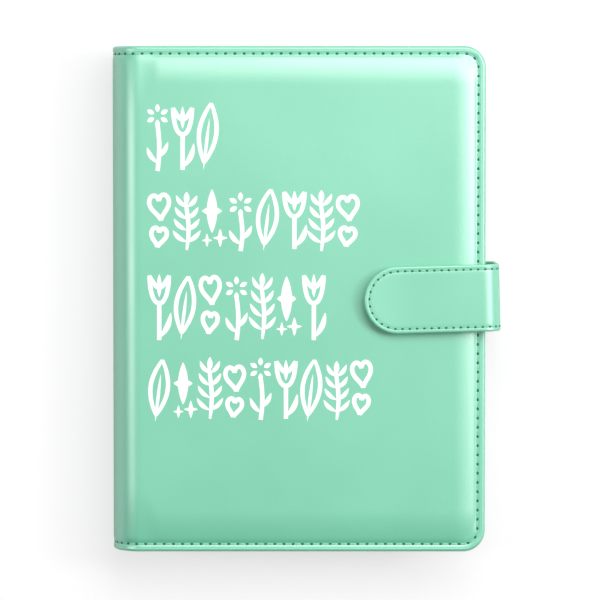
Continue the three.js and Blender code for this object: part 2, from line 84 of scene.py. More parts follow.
@dataclass(frozen=True)
class Layout:
    """The wallet's main lines in millimetres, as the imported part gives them."""

    fore: float
    half: float
    top: float
    spine: float
    fold: float
    mid: float
    border_drop: float = 2.0
    corner: float = 10.0
    leather: float = 0.9

    @property
    def border(self) -> float:
        """Height of the front cover's border."""
        return self.top - self.border_drop

    @property
    def spine_reach(self) -> float:
        """How far the spine stands out from the fold."""
        return self.fold - self.spine


def layout_from_frame() -> Layout:
    """Reads the main lines from the CAD nodes.

    Returns:
        The layout.
    """
    _, front_high = box_mm("front_cover_leather")
    rear_low, _ = box_mm("rear_cover_leather")
    top = float(front_high[2])
    return Layout(
        fore=float(front_high[0]),
        half=float(front_high[1]),
        top=top,
        spine=float(rear_low[0]),
        fold=float(rear_low[0]) + SPINE_REACH,
        mid=top / 2,
    )


LAYOUT = layout_from_frame()


class Side(Enum):
    """Which cover a piece belongs to; the value turns heights over for the back."""

    FRONT = 1
    BACK = -1


def height(side: Side, z: np.ndarray) -> np.ndarray:
    """Turns a front-cover height into the same place on the given cover.

    Args:
        side: The cover.
        z: Heights as on the front cover.

    Returns:
        The heights on that cover.
    """
    return LAYOUT.mid + side.value * (z - LAYOUT.mid)


# Meshes from grids


def grid_quads(rows: int, columns: int, wrap: bool = False) -> np.ndarray:
    """Lists the quads of a grid of points stored row by row.

    Args:
        rows: Number of rows.
        columns: Number of points in a row.
        wrap: Whether the last column joins the first.

    Returns:
        An array of four point numbers per quad.
    """
    number = np.arange(rows * columns).reshape(rows, columns)
    if wrap:
        number = np.concatenate([number, number[:, :1]], axis=1)
    corners = (number[:-1, :-1], number[1:, :-1], number[1:, 1:], number[:-1, 1:])
    return np.stack([c.ravel() for c in corners], axis=1)


def closed_shell(outer: np.ndarray, inner: np.ndarray) -> tuple[np.ndarray, np.ndarray]:
    """Closes two grids of equal size into a solid with quads round their rim.

    Args:
        outer: The outside as rows x columns x 3.
        inner: The inside, point for point under the outside.

    Returns:
        The points and the quads.
    """
    rows, columns = outer.shape[:2]
    count = rows * columns
    number = np.arange(count).reshape(rows, columns)
    rim = np.concatenate(
        [number[0, :-1], number[:-1, -1], number[-1, :0:-1], number[:0:-1, 0]]
    )
    after = np.roll(rim, -1)
    face = grid_quads(rows, columns)
    walls = np.stack([rim, after, after + count, rim + count], axis=1)
    points = np.concatenate([outer.reshape(-1, 3), inner.reshape(-1, 3)])
    return points, np.concatenate([face, face[:, ::-1] + count, walls])


def signed_volume(points: np.ndarray, quads: np.ndarray) -> float:
    """Sums the volumes of the cones from the origin to each quad's two triangles.

    Args:
        points: The points.
        quads: The quads.

    Returns:
        The volume, negative when the faces point inwards.
    """
    a, b, c, d = (points[quads[:, k]] for k in range(4))
    first = np.einsum("ij,ij->i", a, np.cross(b, c))
    second = np.einsum("ij,ij->i", a, np.cross(c, d))
    return float((first + second).sum())


def make_object(
    name: str,
    points: np.ndarray,
    quads: np.ndarray,
    material: bpy.types.Material,
    sharp: float = 40.0,
) -> bpy.types.Object:
    """Puts a closed mesh into the scene with its faces outwards and its doubles merged.

    Args:
        name: The piece's name.
        points: The points in millimetres.
        quads: The quads; a quad whose points meet becomes a triangle.
        material: The piece's material.
        sharp: The angle in degrees over which an edge stays sharp.

    Returns:
        The new object, at the origin.
    """
    if signed_volume(points - points.mean(0), quads) < 0:
        quads = quads[:, ::-1]
    mesh = bpy.data.meshes.new(name)
    mesh.from_pydata((points * MM).tolist(), [], quads.tolist())
    shape = bmesh.new()
    shape.from_mesh(mesh)
    bmesh.ops.remove_doubles(shape, verts=shape.verts, dist=1e-7)
    bmesh.ops.dissolve_degenerate(shape, edges=shape.edges, dist=1e-8)
    shape.to_mesh(mesh)
    shape.free()
    mesh.shade_smooth()
    mesh.set_sharp_from_angle(angle=math.radians(sharp))
    mesh.materials.append(material)
    thing = bpy.data.objects.new(name, mesh)
    bpy.context.scene.collection.objects.link(thing)
    return thing


def join_parts(parts: Sequence[tuple[np.ndarray, np.ndarray]]) -> tuple[np.ndarray, np.ndarray]:
    """Joins several meshes into one list of points and quads.

    Args:
        parts: Points and quads of each mesh.

    Returns:
        The joined points and quads.
    """
    starts = np.cumsum([0] + [len(points) for points, _ in parts[:-1]])
    points = np.concatenate([points for points, _ in parts])
    quads = np.concatenate([quads + start for (_, quads), start in zip(parts, starts)])
    return points, quads


def bead(around: int = 8, along: int = 7, blunt: float = 0.6) -> tuple[np.ndarray, np.ndarray]:
    """Makes a unit bead: a sphere whose ends are blunted along x by a power of the cosine.

    Args:
        around: Points round the bead.
        along: Rows from end to end.
        blunt: The power; 1 gives a sphere and less gives a capsule.

    Returns:
        The points and quads.
    """
    v = np.linspace(0, math.pi, along)[:, None]
    u = np.linspace(0, 2 * math.pi, around, endpoint=False)[None, :]
    x = np.sign(np.cos(v)) * np.abs(np.cos(v)) ** blunt + 0 * u
    points = np.stack([x, np.sin(v) * np.cos(u), np.sin(v) * np.sin(u)], axis=-1)
    return points.reshape(-1, 3), grid_quads(along, around, wrap=True)


def place_beads(
    centre: np.ndarray, tangent: np.ndarray, normal: np.ndarray, size: Sequence[float]
) -> tuple[np.ndarray, np.ndarray]:
    """Copies the bead to many places, its x along the tangent and its z along the normal.

    Args:
        centre: Places, one row each.
        tangent: Directions along the seam.
        normal: Directions out of the surface.
        size: Half length, half width and half height.

    Returns:
        The points and quads of all the beads.
    """
    unit, quads = bead()
    across = np.cross(normal, tangent)
    axes = np.stack([tangent, across, normal], axis=1) * np.array(size)[None, :, None]
    points = np.einsum("pk,nkc->npc", unit, axes) + centre[:, None, :]
    offsets = np.arange(len(centre))[:, None, None] * len(unit)
    return points.reshape(-1, 3), (quads[None] + offsets).reshape(-1, 4)


def resample(line: np.ndarray, pitch: float, start: float = 0.5) -> tuple[np.ndarray, np.ndarray]:
    """Finds evenly spaced stations on a dense polyline.

    Args:
        line: The polyline's points.
        pitch: The spacing.
        start: Where the first station stands, in pitches.

    Returns:
        The stations' path distances and the points' path distances.
    """
    steps = np.linalg.norm(np.diff(line, axis=0), axis=1)
    path = np.concatenate([[0.0], np.cumsum(steps)])
    return np.arange(start * pitch, path[-1], pitch), path


def at_path(path: np.ndarray, values: np.ndarray, stations: np.ndarray) -> np.ndarray:
    """Reads values at path distances, each column in its own right.

    Args:
        path: Path distance of each row of values.
        values: The values.
        stations: Where to read.

    Returns:
        The values at the stations.
    """
    return np.stack([np.interp(stations, path, values[:, k]) for k in range(3)], axis=1)


def unit_rows(values: np.ndarray) -> np.ndarray:
    """Scales each row to length one."""
    return values / np.linalg.norm(values, axis=-1, keepdims=True)


def ease(t: np.ndarray) -> np.ndarray:
    """Smoothstep from 0 to 1, flat outside."""
    t = np.clip(t, 0.0, 1.0)
    return t * t * (3 - 2 * t)


# Stitches


@dataclass(frozen=True)
class StitchRow:
    """The thread of a seam: its pitch, its stitches' half sizes and the size of the dark beads between
    them, which paint the shade in the needle holes.
    """

    pitch: float
    half_size: tuple[float, float, float]
    hole: tuple[float, float, float]
    lift: float = 0.05
    probe: float = 0.4

    def meshes(
        self, line: np.ndarray, normal: np.ndarray
    ) -> tuple[tuple[np.ndarray, np.ndarray], tuple[np.ndarray, np.ndarray]]:
        """Lays stitches along a line and, at each stitch's end, a dark bead that is painted shade for
        the needle hole.

        Args:
            line: Dense points.
            normal: Outward normals.

        Returns:
            The thread's mesh and the mesh of the dark beads painted as shade in the needle holes.
        """
        stations, path = resample(line, self.pitch)
        gaps, _ = resample(line, self.pitch, start=1.0)
        meshes = []
        for places, size, lift in (
            (stations, self.half_size, self.lift),
            (gaps, self.hole, 0.0),
        ):
            centre = at_path(path, line, places)
            ahead = at_path(path, line, places + self.probe)
            back = at_path(path, line, places - self.probe)
            out = unit_rows(at_path(path, normal, places))
            tangent = unit_rows(ahead - back)
            tangent = unit_rows(tangent - out * np.einsum("ij,ij->i", tangent, out)[:, None])
            meshes.append(place_beads(centre + out * lift, tangent, out, size))
        return meshes[0], meshes[1]


# Hole sizes are those of the dark beads that paint the shade in the needle holes.
COVER_STITCH = StitchRow(pitch=4.2, half_size=(1.55, 0.42, 0.24), hole=(0.74, 0.64, 0.2))
STRAP_STITCH = StitchRow(pitch=3.3, half_size=(1.15, 0.36, 0.18), hole=(0.64, 0.56, 0.16))
POCKET_STITCH = StitchRow(pitch=3.0, half_size=(1.05, 0.28, 0.18), hole=(0.3, 0.3, 0.1))


# The covers' shape


@dataclass(frozen=True)
class EdgeProfile:
    """The section of a turned-in edge: a hem under, a wall, a rolled top and then the flat.

    Path distance s is counted so that the inset equals s on the flat. The rows behind the
    roll lie close together, for the groove and the stitches.
    """

    depth: float = 3.4
    hem: float = 2.8
    roll: float = 1.3
    foot: float = 0.6
    behind_roll: tuple[float, ...] = (
        *(0.25, 0.5, 0.75, 1.0, 1.35, 1.7),
        *(2.05, 2.4, 2.8, 3.4, 4.2),
    )

    def knots(self) -> tuple[np.ndarray, np.ndarray, np.ndarray]:
        """Traces the section from the hem's inner end to the flat.

        Returns:
            Path distance, inset and drop of the knots.
        """
        a = np.linspace(0, math.pi / 2, 7)
        inset = np.concatenate(
            [[self.hem], self.foot * (1 - np.sin(a)), self.roll * (1 - np.cos(a))]
        )
        drop = np.concatenate(
            [
                [self.depth],
                self.depth - self.foot * (1 - np.cos(a)),
                self.roll * (1 - np.sin(a)),
            ]
        )
        path = np.concatenate([[0.0], np.cumsum(np.hypot(np.diff(inset), np.diff(drop)))])
        return path - path[-1] + self.roll, inset, drop

    def at(self, s: np.ndarray, under: float = 0.0) -> tuple[np.ndarray, np.ndarray]:
        """Gives inset and drop at path distances, or those of the face under the leather.

        Args:
            s: Path distances.
            under: How far to go in under the outside.

        Returns:
            Insets and drops.
        """
        path, inset, drop = self.knots()
        far = np.array([path[-1] + 1.0])
        path = np.concatenate([path, far])
        inset = np.concatenate([inset, [inset[-1] + 1.0]])
        drop = np.concatenate([drop, [0.0]])
        slope = np.stack([np.gradient(inset, path), np.gradient(drop, path)])
        slope = slope / np.linalg.norm(slope, axis=0)
        beyond = np.maximum(s - path[-1], 0.0)
        lead = np.interp(s, path, inset - under * slope[1]) + beyond
        fall = np.interp(s, path, drop + under * slope[0])
        return lead, fall

    def rows(self, far: float, step: float) -> np.ndarray:
        """Chooses path distances, close together on the edge and even on the flat.

        Args:
            far: The last path distance.
            step: The spacing on the flat.

        Returns:
            The path distances.
        """
        path, _, _ = self.knots()
        near = self.roll + np.array(self.behind_roll)
        last = near[-1]
        count = max(2, int(round((far - last) / step)))
        return np.concatenate([path, near, np.linspace(last, far, count + 1)[1:]])


def corner_place(
    sa: np.ndarray, sb: np.ndarray, radius: float, profile: EdgeProfile, under: float
) -> tuple[np.ndarray, np.ndarray, np.ndarray, np.ndarray]:
    """Maps the path distances from two edges round a corner of the given radius.

    Inside the corner square the point stands on a circle whose radius is the corner radius
    less the inset, at an angle of up to 45 degrees that grows with the smaller share.

    Args:
        sa: Path distances from the fore edge.
        sb: Path distances from the side edge.
        radius: The corner radius.
        profile: The edge's section.
        under: How far in under the outside.

    Returns:
        Inset from the fore edge, inset from the side edge, drop, and distance from the edge.
    """
    near = np.minimum(sa, sb)
    lead, fall = profile.at(near, under)
    ix, _ = profile.at(sa, under)
    iy, _ = profile.at(sb, under)
    p, q = radius - sa, radius - sb
    inside = (p > 0) & (q > 0)
    small, large = np.minimum(p, q), np.maximum(np.maximum(p, q), 1e-9)
    turn = math.pi / 4 * small / large
    angle = np.where(p >= q, turn, math.pi / 2 - turn)
    m = radius - lead
    ix = np.where(inside, radius - m * np.cos(angle), ix)
    iy = np.where(inside, radius - m * np.sin(angle), iy)
    return ix, iy, fall, lead


@dataclass(frozen=True)
class CoverShape:
    """The outside of a padded cover and of the spine, as functions of place.

    The groove and the crease are bell curves: a depth, a place and a half width.
    """

    side: Side
    stitch_inset: float = 3.5
    pad_border: float = 4.1
    fore_slope: float = 10.0
    head_slope: float = 13.0
    tail_slope: float = 15.0
    spine_slope: float = 26.0
    spine_run: float = 9.0
    groove: float = 0.5
    groove_half: float = 1.15
    crease: float = 0.08
    crease_inset: float = 1.75
    crease_half: float = 0.3
    hem_fall: float = 0.15

    def pad(self, x: np.ndarray, y: np.ndarray) -> np.ndarray:
        """Height of the padding over the border.

        Each slope's share e runs from 1 at the border to 0 at its end; the shares meet as
        the sides of a right angle, and the height is the rise times one less their square.
        At the fore edge and the head the hem falls evenly from the stitches to the edge.

        Args:
            x: Places across.
            y: Places along.

        Returns:
            The height.
        """
        slope = np.where(y > 0, self.head_slope, self.tail_slope)
        near_spine = ease((LAYOUT.fold + self.spine_run - x) / self.spine_run)
        slope = slope + (self.spine_slope - slope) * near_spine
        fore = np.clip(1 - (LAYOUT.fore - self.pad_border - x) / self.fore_slope, 0, 1)
        end = np.clip(1 - (LAYOUT.half - self.pad_border - np.abs(y)) / slope, 0, 1)
        share = np.minimum(np.hypot(fore, end), 1.0)
        edge = np.minimum(LAYOUT.fore - x, np.where(y > 0, LAYOUT.half - y, self.stitch_inset))
        hem = self.hem_fall * np.clip(self.stitch_inset - edge, 0, None)
        return LAYOUT.border_drop * (1 - share * share) - hem

    def sunk(self, edge: np.ndarray) -> np.ndarray:
        """Depth of the stitched groove and of the crease behind the rolled edge.

        Args:
            edge: Distances from the edge.

        Returns:
            The depth.
        """
        stitch = self.groove * np.exp(-(((edge - self.stitch_inset) / self.groove_half) ** 2))
        crease = self.crease * np.exp(-(((edge - self.crease_inset) / self.crease_half) ** 2))
        return stitch + crease

    def panel_point(
        self, ix: np.ndarray, iy: np.ndarray, sign: np.ndarray, drop: np.ndarray
    ) -> np.ndarray:
        """Puts points of the flat panel at their place.

        Args:
            ix: Insets from the fore edge.
            iy: Insets from the side edges.
            sign: 1 towards the head and -1 towards the tail.
            drop: Depths under the outside.

        Returns:
            The points.
        """
        x = LAYOUT.fore - ix
        y = sign * (LAYOUT.half - iy)
        z = LAYOUT.border + self.pad(x, y) - drop
        return np.stack([x, y, height(self.side, z)], axis=-1)

    def spine_point(
        self, phi: np.ndarray, y: np.ndarray, drop: np.ndarray
    ) -> tuple[np.ndarray, np.ndarray]:
        """Puts points on the rounded spine, an ellipse about the fold's middle.

        The angle phi is 0 at the back cover and pi at the front cover.

        Args:
            phi: The angles.
            y: Places along.
            drop: Depths under the outside.

        Returns:
            The points and the outward normals.
        """
        reach = LAYOUT.spine_reach
        tall = LAYOUT.border - LAYOUT.mid + self.pad(np.full_like(y, LAYOUT.fold), y)
        nx, nz = -np.sin(phi) / reach, -np.cos(phi) / tall
        size = np.hypot(nx, nz)
        nx, nz = nx / size, nz / size
        x = LAYOUT.fold - reach * np.sin(phi) - nx * drop
        z = LAYOUT.mid - tall * np.cos(phi) - nz * drop
        zero = np.zeros_like(nx)
        return np.stack([x, y, z], axis=-1), np.stack([nx, zero, nz], axis=-1)


# The two covers' leather meets on the spine at this place and angle; the front one bends from
# there to a little past the fold
SPLIT_X = -77.0
SPLIT_PHI = math.asin((LAYOUT.fold - SPLIT_X) / LAYOUT.spine_reach)


def even_angles(first: float, last: float, step: float) -> np.ndarray:
    """Chooses spine angles that stand evenly along the ellipse.

    Args:
        first: The first angle.
        last: The last angle.
        step: The spacing in millimetres.

    Returns:
        The angles.
    """
    fine = np.linspace(first, last, 400)
    x = LAYOUT.spine_reach * np.sin(fine)
    z = LAYOUT.mid * np.cos(fine)
    path = np.concatenate([[0.0], np.cumsum(np.hypot(np.diff(x), np.diff(z)))])
    count = max(4, int(round(path[-1] / step)))
    return np.interp(np.linspace(0, path[-1], count + 1), path, fine)


@dataclass
class CoverLeather:
    """The imitation leather of one cover, with its share of the spine."""

    shape: CoverShape
    name: str
    node: str
    step: float = 1.25
    spine_depth: float = 2.8
    settle_run: float = 6.0
    seam_step: float = 0.5

    def angles(self) -> np.ndarray:
        """Spine angles of this cover's share, from its far end to the fold.

        Returns:
            The angles.
        """
        if self.shape.side is Side.FRONT:
            return even_angles(SPLIT_PHI, math.pi, self.step)
        return even_angles(SPLIT_PHI, 0.0, self.step)

    def face(self, under: float) -> np.ndarray:
        """Works out one face of the leather as a grid of points.

        The spine's edge is shallower than the panel's, and near the fold the panel's edge
        eases over to it.

        Args:
            under: How far in under the outside.

        Returns:
            The grid, rows along the spine's length and columns across.
        """
        profile = EdgeProfile()
        side_rows = profile.rows(LAYOUT.half, self.step)
        sb = np.concatenate([side_rows, side_rows[-2::-1]])
        sign = np.concatenate([np.ones(len(side_rows)), -np.ones(len(side_rows) - 1)])
        sa = profile.rows(LAYOUT.fore - LAYOUT.fold, self.step)[::-1]
        sa_grid, sb_grid = np.meshgrid(sa, sb)
        sign_grid = np.broadcast_to(sign[:, None], sa_grid.shape)
        ix, iy, drop, _ = corner_place(sa_grid, sb_grid, LAYOUT.corner, profile, under)
        edge = corner_place(sa_grid, sb_grid, LAYOUT.corner, profile, 0.0)[3]
        panel = self.shape.panel_point(ix, iy, sign_grid, drop + self.shape.sunk(edge))
        phi = self.angles()
        lead, fall = profile.at(sb, under)
        edge_line = profile.at(sb)[0]
        shallow = self.spine_depth / profile.depth
        fall = fall * shallow + self.shape.sunk(edge_line)
        phi_grid, y_grid = np.meshgrid(phi, sign * (LAYOUT.half - lead))
        drop_grid = np.broadcast_to(fall[:, None], phi_grid.shape)
        spine, _ = self.shape.spine_point(phi_grid, y_grid, drop_grid)
        settle = ease(1 - np.abs(panel[:, :, 0] - LAYOUT.fold) / self.settle_run)
        panel[:, :, 2] += self.shape.side.value * drop * (1 - shallow) * settle
        return np.concatenate([spine[:, :-1], panel], axis=1)

    def seam(self) -> tuple[np.ndarray, np.ndarray]:
        """Traces the stitch line round the cover, from spine to spine.

        Returns:
            Dense points and the outward normals.
        """
        inset, sunk, fine = self.shape.stitch_inset, self.shape.groove, self.seam_step
        phi = even_angles(self.angles()[0], self.angles()[-1], fine)
        y = np.full_like(phi, LAYOUT.half - inset)
        spine, spine_normal = self.shape.spine_point(phi, y, np.full_like(phi, sunk))
        reach = LAYOUT.fore - LAYOUT.fold
        along = np.arange(reach, LAYOUT.corner, -fine)
        a = np.linspace(math.pi / 2, 0, 24)
        bend = LAYOUT.corner - inset
        down = np.arange(LAYOUT.corner, LAYOUT.half, fine)
        ix = np.concatenate([along, LAYOUT.corner - bend * np.cos(a), np.full_like(down, inset)])
        iy = np.concatenate([np.full_like(along, inset), LAYOUT.corner - bend * np.sin(a), down])
        half = self.shape.panel_point(ix, iy, np.ones_like(ix), np.full_like(ix, sunk))
        up = np.zeros_like(half)
        up[:, 2] = self.shape.side.value
        head = np.concatenate([spine[:-1], half])
        normal = np.concatenate([spine_normal[:-1], up])
        tail = head[::-1] * np.array([1.0, -1.0, 1.0])
        line = np.concatenate([head, tail[1:]])
        return line, np.concatenate([normal, normal[::-1][1:]])

    def build(
        self,
        leather: bpy.types.Material,
        thread: bpy.types.Material,
        hole: bpy.types.Material,
    ) -> None:
        """Builds the leather as a closed solid, its stitches, and the dark beads painted as shade in
        the needle holes.

        Args:
            leather: The leather.
            thread: The thread.
            hole: The dark colour painted as shade in the needle holes.
        """
        side = self.shape.side
        points, quads = closed_shell(self.face(0.0), self.face(LAYOUT.leather))
        cover = make_object(self.name, points, quads, leather, sharp=60.0)
        settle_cover(cover, side)
        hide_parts(self.node)
        # The hole beads are painted shade, dark where the needle holes lie.
        stitches, holes = COVER_STITCH.meshes(*self.seam())
        settle_cover(make_object(f"{self.name}_thread", *stitches, thread), side)
        settle_cover(make_object(f"{self.name}_holes", *holes, hole), side)
        log.info("built %s", self.name)


def settle_cover(thing: bpy.types.Object, side: Side) -> None:
    """Puts a covering piece in place: the front one stays where it is built, and the back one goes on
    the back cover's body.

    Args:
        thing: The piece.
        side: The cover.
    """
    if side is Side.FRONT:
        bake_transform(thing)
    else:
        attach(thing, "back_cover")


# The closure strap


@dataclass(frozen=True)
class StrapShape:
    """The strap in its own frame: a flap, a bend, a side, a bend and a root, with a round tip.

    The flap rises a little towards its tip, as the square of the distance.
    """

    width: float = 30.5
    thick: float = 1.8
    bend: float = 7.5
    flap: float = 54.2
    side: float = 24.7
    root: float = 11.0
    turn: float = math.radians(1.5)
    middle: float = 1.2
    stitch_inset: float = 2.2
    groove: float = 0.12
    groove_half: float = 0.6
    tip_lift: float = 1.0
    tip_run: float = 22.0

    @property
    def stops(self) -> np.ndarray:
        """Path distances from the tip at which one stretch goes over into the next."""
        arc = self.bend * math.pi / 2
        return np.cumsum([self.flap, arc, self.side, arc, self.root])

    @property
    def mid_side(self) -> float:
        """Path distance of the middle of the side."""
        return float(self.stops[1] + self.side / 2)

    def section(self, a: np.ndarray) -> tuple[np.ndarray, ...]:
        """Follows the strap's outside from the tip to the root.

        Args:
            a: Path distances from the tip.

        Returns:
            x, z and the outward normal's x and z in the strap's frame.
        """
        s1, s2, s3, s4, _ = self.stops
        high = box_mm("strap_flap")[1][2]
        low = box_mm("strap_root")[0][2]
        upper = np.clip((a - s1) / self.bend, 0, math.pi / 2)
        lower = np.clip((a - s3) / self.bend, 0, math.pi / 2)
        turn = upper + lower
        nx, nz = np.sin(turn), np.cos(turn)
        top = high - self.bend
        foot = low + self.bend
        flap_x = -self.bend - np.clip(s1 - a, 0, None)
        root_x = -self.bend - np.clip(a - s4, 0, None)
        x = np.where(a < s1, flap_x, np.where(a > s4, root_x, -self.bend + self.bend * nx))
        z_side = top - np.clip(a - s2, 0, s3 - s2)
        z = np.where(a <= s2, top + self.bend * nz, z_side)
        z = np.where(a > s3, foot + self.bend * nz, z)
        z = z + self.tip_lift * np.clip(1 - a / self.tip_run, 0, 1) ** 2
        return x, z, nx, nz

    def world(self, a: np.ndarray, w: np.ndarray, drop: np.ndarray) -> np.ndarray:
        """Puts points of the strap at their place in the row frame.

        Args:
            a: Path distances from the tip.
            w: Places across the strap.
            drop: Depths under the outside.

        Returns:
            The points.
        """
        x, z, nx, nz = self.section(a)
        x, z = x - nx * drop, z - nz * drop
        c, s = math.cos(self.turn), math.sin(self.turn)
        origin = box_mm("strap_side")[1][0] - self.width / 2 * abs(s)
        return np.stack([origin + c * x - s * w, self.middle + s * x + c * w, z], axis=-1)

    def sunk(self, edge: np.ndarray) -> np.ndarray:
        """Depth of the stitched groove at distances from the edge."""
        return self.groove * np.exp(-(((edge - self.stitch_inset) / self.groove_half) ** 2))


@dataclass
class Strap:
    """The two lengths of leather that make the strap, with their thread.

    The rounded edge is a quarter ellipse: its path is lag longer than it is wide.
    """

    shape: StrapShape
    step: float = 0.9
    edge_path: float = 1.2
    edge_wide: float = 0.8
    lag: float = 0.4
    seam_step: float = 0.4
    edge_rows: tuple[float, ...] = (
        *(0.0, 0.2, 0.4, 0.6, 0.8, 1.0, 1.2),
        *(1.6, 2.0, 2.3, 2.6, 2.9, 3.3, 3.9),
    )

    def rounding(self, s: np.ndarray) -> tuple[np.ndarray, np.ndarray]:
        """Follows the rounded edge and then the flat.

        Args:
            s: Path distances, 0 at the edge's middle.

        Returns:
            Insets and drops.
        """
        half = self.shape.thick / 2
        a = np.clip(s / self.edge_path, 0, 1) * math.pi / 2
        inset = self.edge_wide * (1 - np.cos(a)) + np.clip(s - self.edge_path, 0, None)
        return inset, half * (1 - np.sin(a))

    def face(self, first: float, last: float, inner: bool, tip: bool) -> np.ndarray:
        """Works out one face of a stretch of the strap.

        In the round tip a point stands on a half circle less its inset, at an angle of up to
        45 degrees that grows with the smaller share, as in a corner.

        Args:
            first: Path distance where the stretch begins.
            last: Path distance where it ends.
            inner: Whether it is the face against the cover.
            tip: Whether the stretch ends in the round tip.

        Returns:
            The grid of points.
        """
        half = self.shape.width / 2
        near = np.array(self.edge_rows)
        reach = half + self.lag
        across = np.concatenate([near, np.linspace(near[-1], reach, 15)[1:]])
        sb = np.concatenate([across, across[-2::-1]])
        sign = np.concatenate([np.ones(len(across)), -np.ones(len(across) - 1)])
        count = int((last - first) / self.step)
        if tip:
            sa = np.concatenate([near, np.linspace(near[-1], last + self.lag, count)[1:]])
        else:
            sa = np.linspace(first + self.lag, last + self.lag, count)
        sa_grid, sb_grid = np.meshgrid(sa, sb)
        sign_grid = np.broadcast_to(sign[:, None], sa_grid.shape)
        ia, _ = self.rounding(sa_grid)
        ib, _ = self.rounding(sb_grid)
        nearest = np.minimum(sa_grid, sb_grid)
        lead, drop = self.rounding(nearest)
        p, q = reach - sa_grid, reach - sb_grid
        small, large = np.minimum(p, q), np.maximum(np.maximum(p, q), 1e-9)
        turn = math.pi / 4 * np.clip(small, 0, None) / large
        angle = np.where(p >= q, turn, math.pi / 2 - turn)
        inside = (p > 0) & (q >= 0)
        m = half - lead
        a = np.where(inside, half - m * np.cos(angle), ia)
        w = np.where(inside, m * np.sin(angle), half - ib)
        if not tip:
            a, w = sa_grid - self.lag, half - ib
            lead, drop = self.rounding(sb_grid)
        drop = drop + self.shape.sunk(lead)
        if inner:
            drop = self.shape.thick - drop
        return self.shape.world(a, sign_grid * w, drop)

    def build(
        self,
        leather: bpy.types.Material,
        thread: bpy.types.Material,
        hole: bpy.types.Material,
    ) -> None:
        """Builds the two lengths and their stitches, and leaves each where it is built.

        Args:
            leather: The strap's leather.
            thread: The thread.
            hole: The dark colour painted as shade in the needle holes.
        """
        flap = self.length("strap_upper", True, leather)
        root = self.length("strap_lower", False, leather)
        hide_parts("strap_flap", "strap_side")
        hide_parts("strap_root")
        for name, upper in (("strap_upper", True), ("strap_lower", False)):
            # The hole beads are painted shade in the needle holes.
            stitches, holes = STRAP_STITCH.meshes(*self.seam(upper))
            self.settle(make_object(f"{name}_thread", *stitches, thread), upper)
            self.settle(make_object(f"{name}_holes", *holes, hole), upper)
            log.info("built %s", name)

    def length(self, name: str, upper: bool, material: bpy.types.Material) -> bpy.types.Object:
        """Builds one length of leather as a closed solid; the two meet in the side's middle.

        Args:
            name: The piece's name.
            upper: Whether it is the upper length.
            material: The strap's leather.

        Returns:
            The object.
        """
        middle, foot = self.shape.mid_side, self.shape.stops[4]
        first, last = (0.0, middle) if upper else (middle, foot)
        outside = self.face(first, last, inner=False, tip=upper)
        inside = self.face(first, last, inner=True, tip=upper)
        thing = make_object(name, *closed_shell(outside, inside), material, sharp=60.0)
        self.settle(thing, upper)
        return thing

    def settle(self, thing: bpy.types.Object, upper: bool) -> None:
        """Fixes a piece of the strap where it is built; the ends of its bend are worked out but not
        used.

        Args:
            thing: The piece.
            upper: Whether it belongs to the upper length.
        """
        s1, s2, s3, s4, _ = self.shape.stops
        zero = np.zeros(1)
        if upper:
            ends = [self.shape.world(np.array([a]), zero, zero)[0] * MM for a in (s2, s1)]
            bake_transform(thing)
            return
        ends = [self.shape.world(np.array([a]), zero, zero)[0] * MM for a in (s4, s3)]
        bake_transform(thing)

    def seam(self, upper: bool) -> tuple[np.ndarray, np.ndarray]:
        """Traces the stitch line of one length on its outside.

        Args:
            upper: Whether it is the upper length.

        Returns:
            Dense points and outward normals.
        """
        shape = self.shape
        half = shape.width / 2
        bend = half - shape.stitch_inset
        if upper:
            run = np.arange(shape.mid_side, half, -self.seam_step)
            a = np.linspace(math.pi / 2, 0, 40)
            path = np.concatenate([run, half - bend * np.cos(a)])
            across = np.concatenate([np.full_like(run, bend), bend * np.sin(a)])
            path = np.concatenate([path, path[::-1][1:]])
            across = np.concatenate([across, -across[::-1][1:]])
        else:
            path = np.arange(shape.mid_side, shape.stops[4], self.seam_step)
            across = np.full_like(path, bend)
        drop = np.full_like(path, shape.groove)
        points = shape.world(path, across, drop)
        outside = shape.world(path, across, drop - 1.0)
        return points, outside - points


# Print on the front cover


@dataclass(frozen=True)
class PrintRow:
    """One row of the print: its extents in millimetres and its motifs in order."""

    left: float
    right: float
    low: float
    high: float
    motifs: str


PRINT_ROWS = (
    PrintRow(-69.5, -35.4, 58.4, 88.4, "btl"),
    PrintRow(-69.0, 28.7, 22.1, 49.8, "hskbltsh"),
    PrintRow(-69.0, 12.8, -18.3, 11.7, "tlhbskt"),
    PrintRow(-69.0, 34.6, -55.1, -27.0, "lkshbtlsh"),
)


@dataclass(frozen=True)
class Spot:
    """Where a motif stands: its middle across, its foot, its width and its height."""

    x: float
    foot: float
    w: float
    h: float


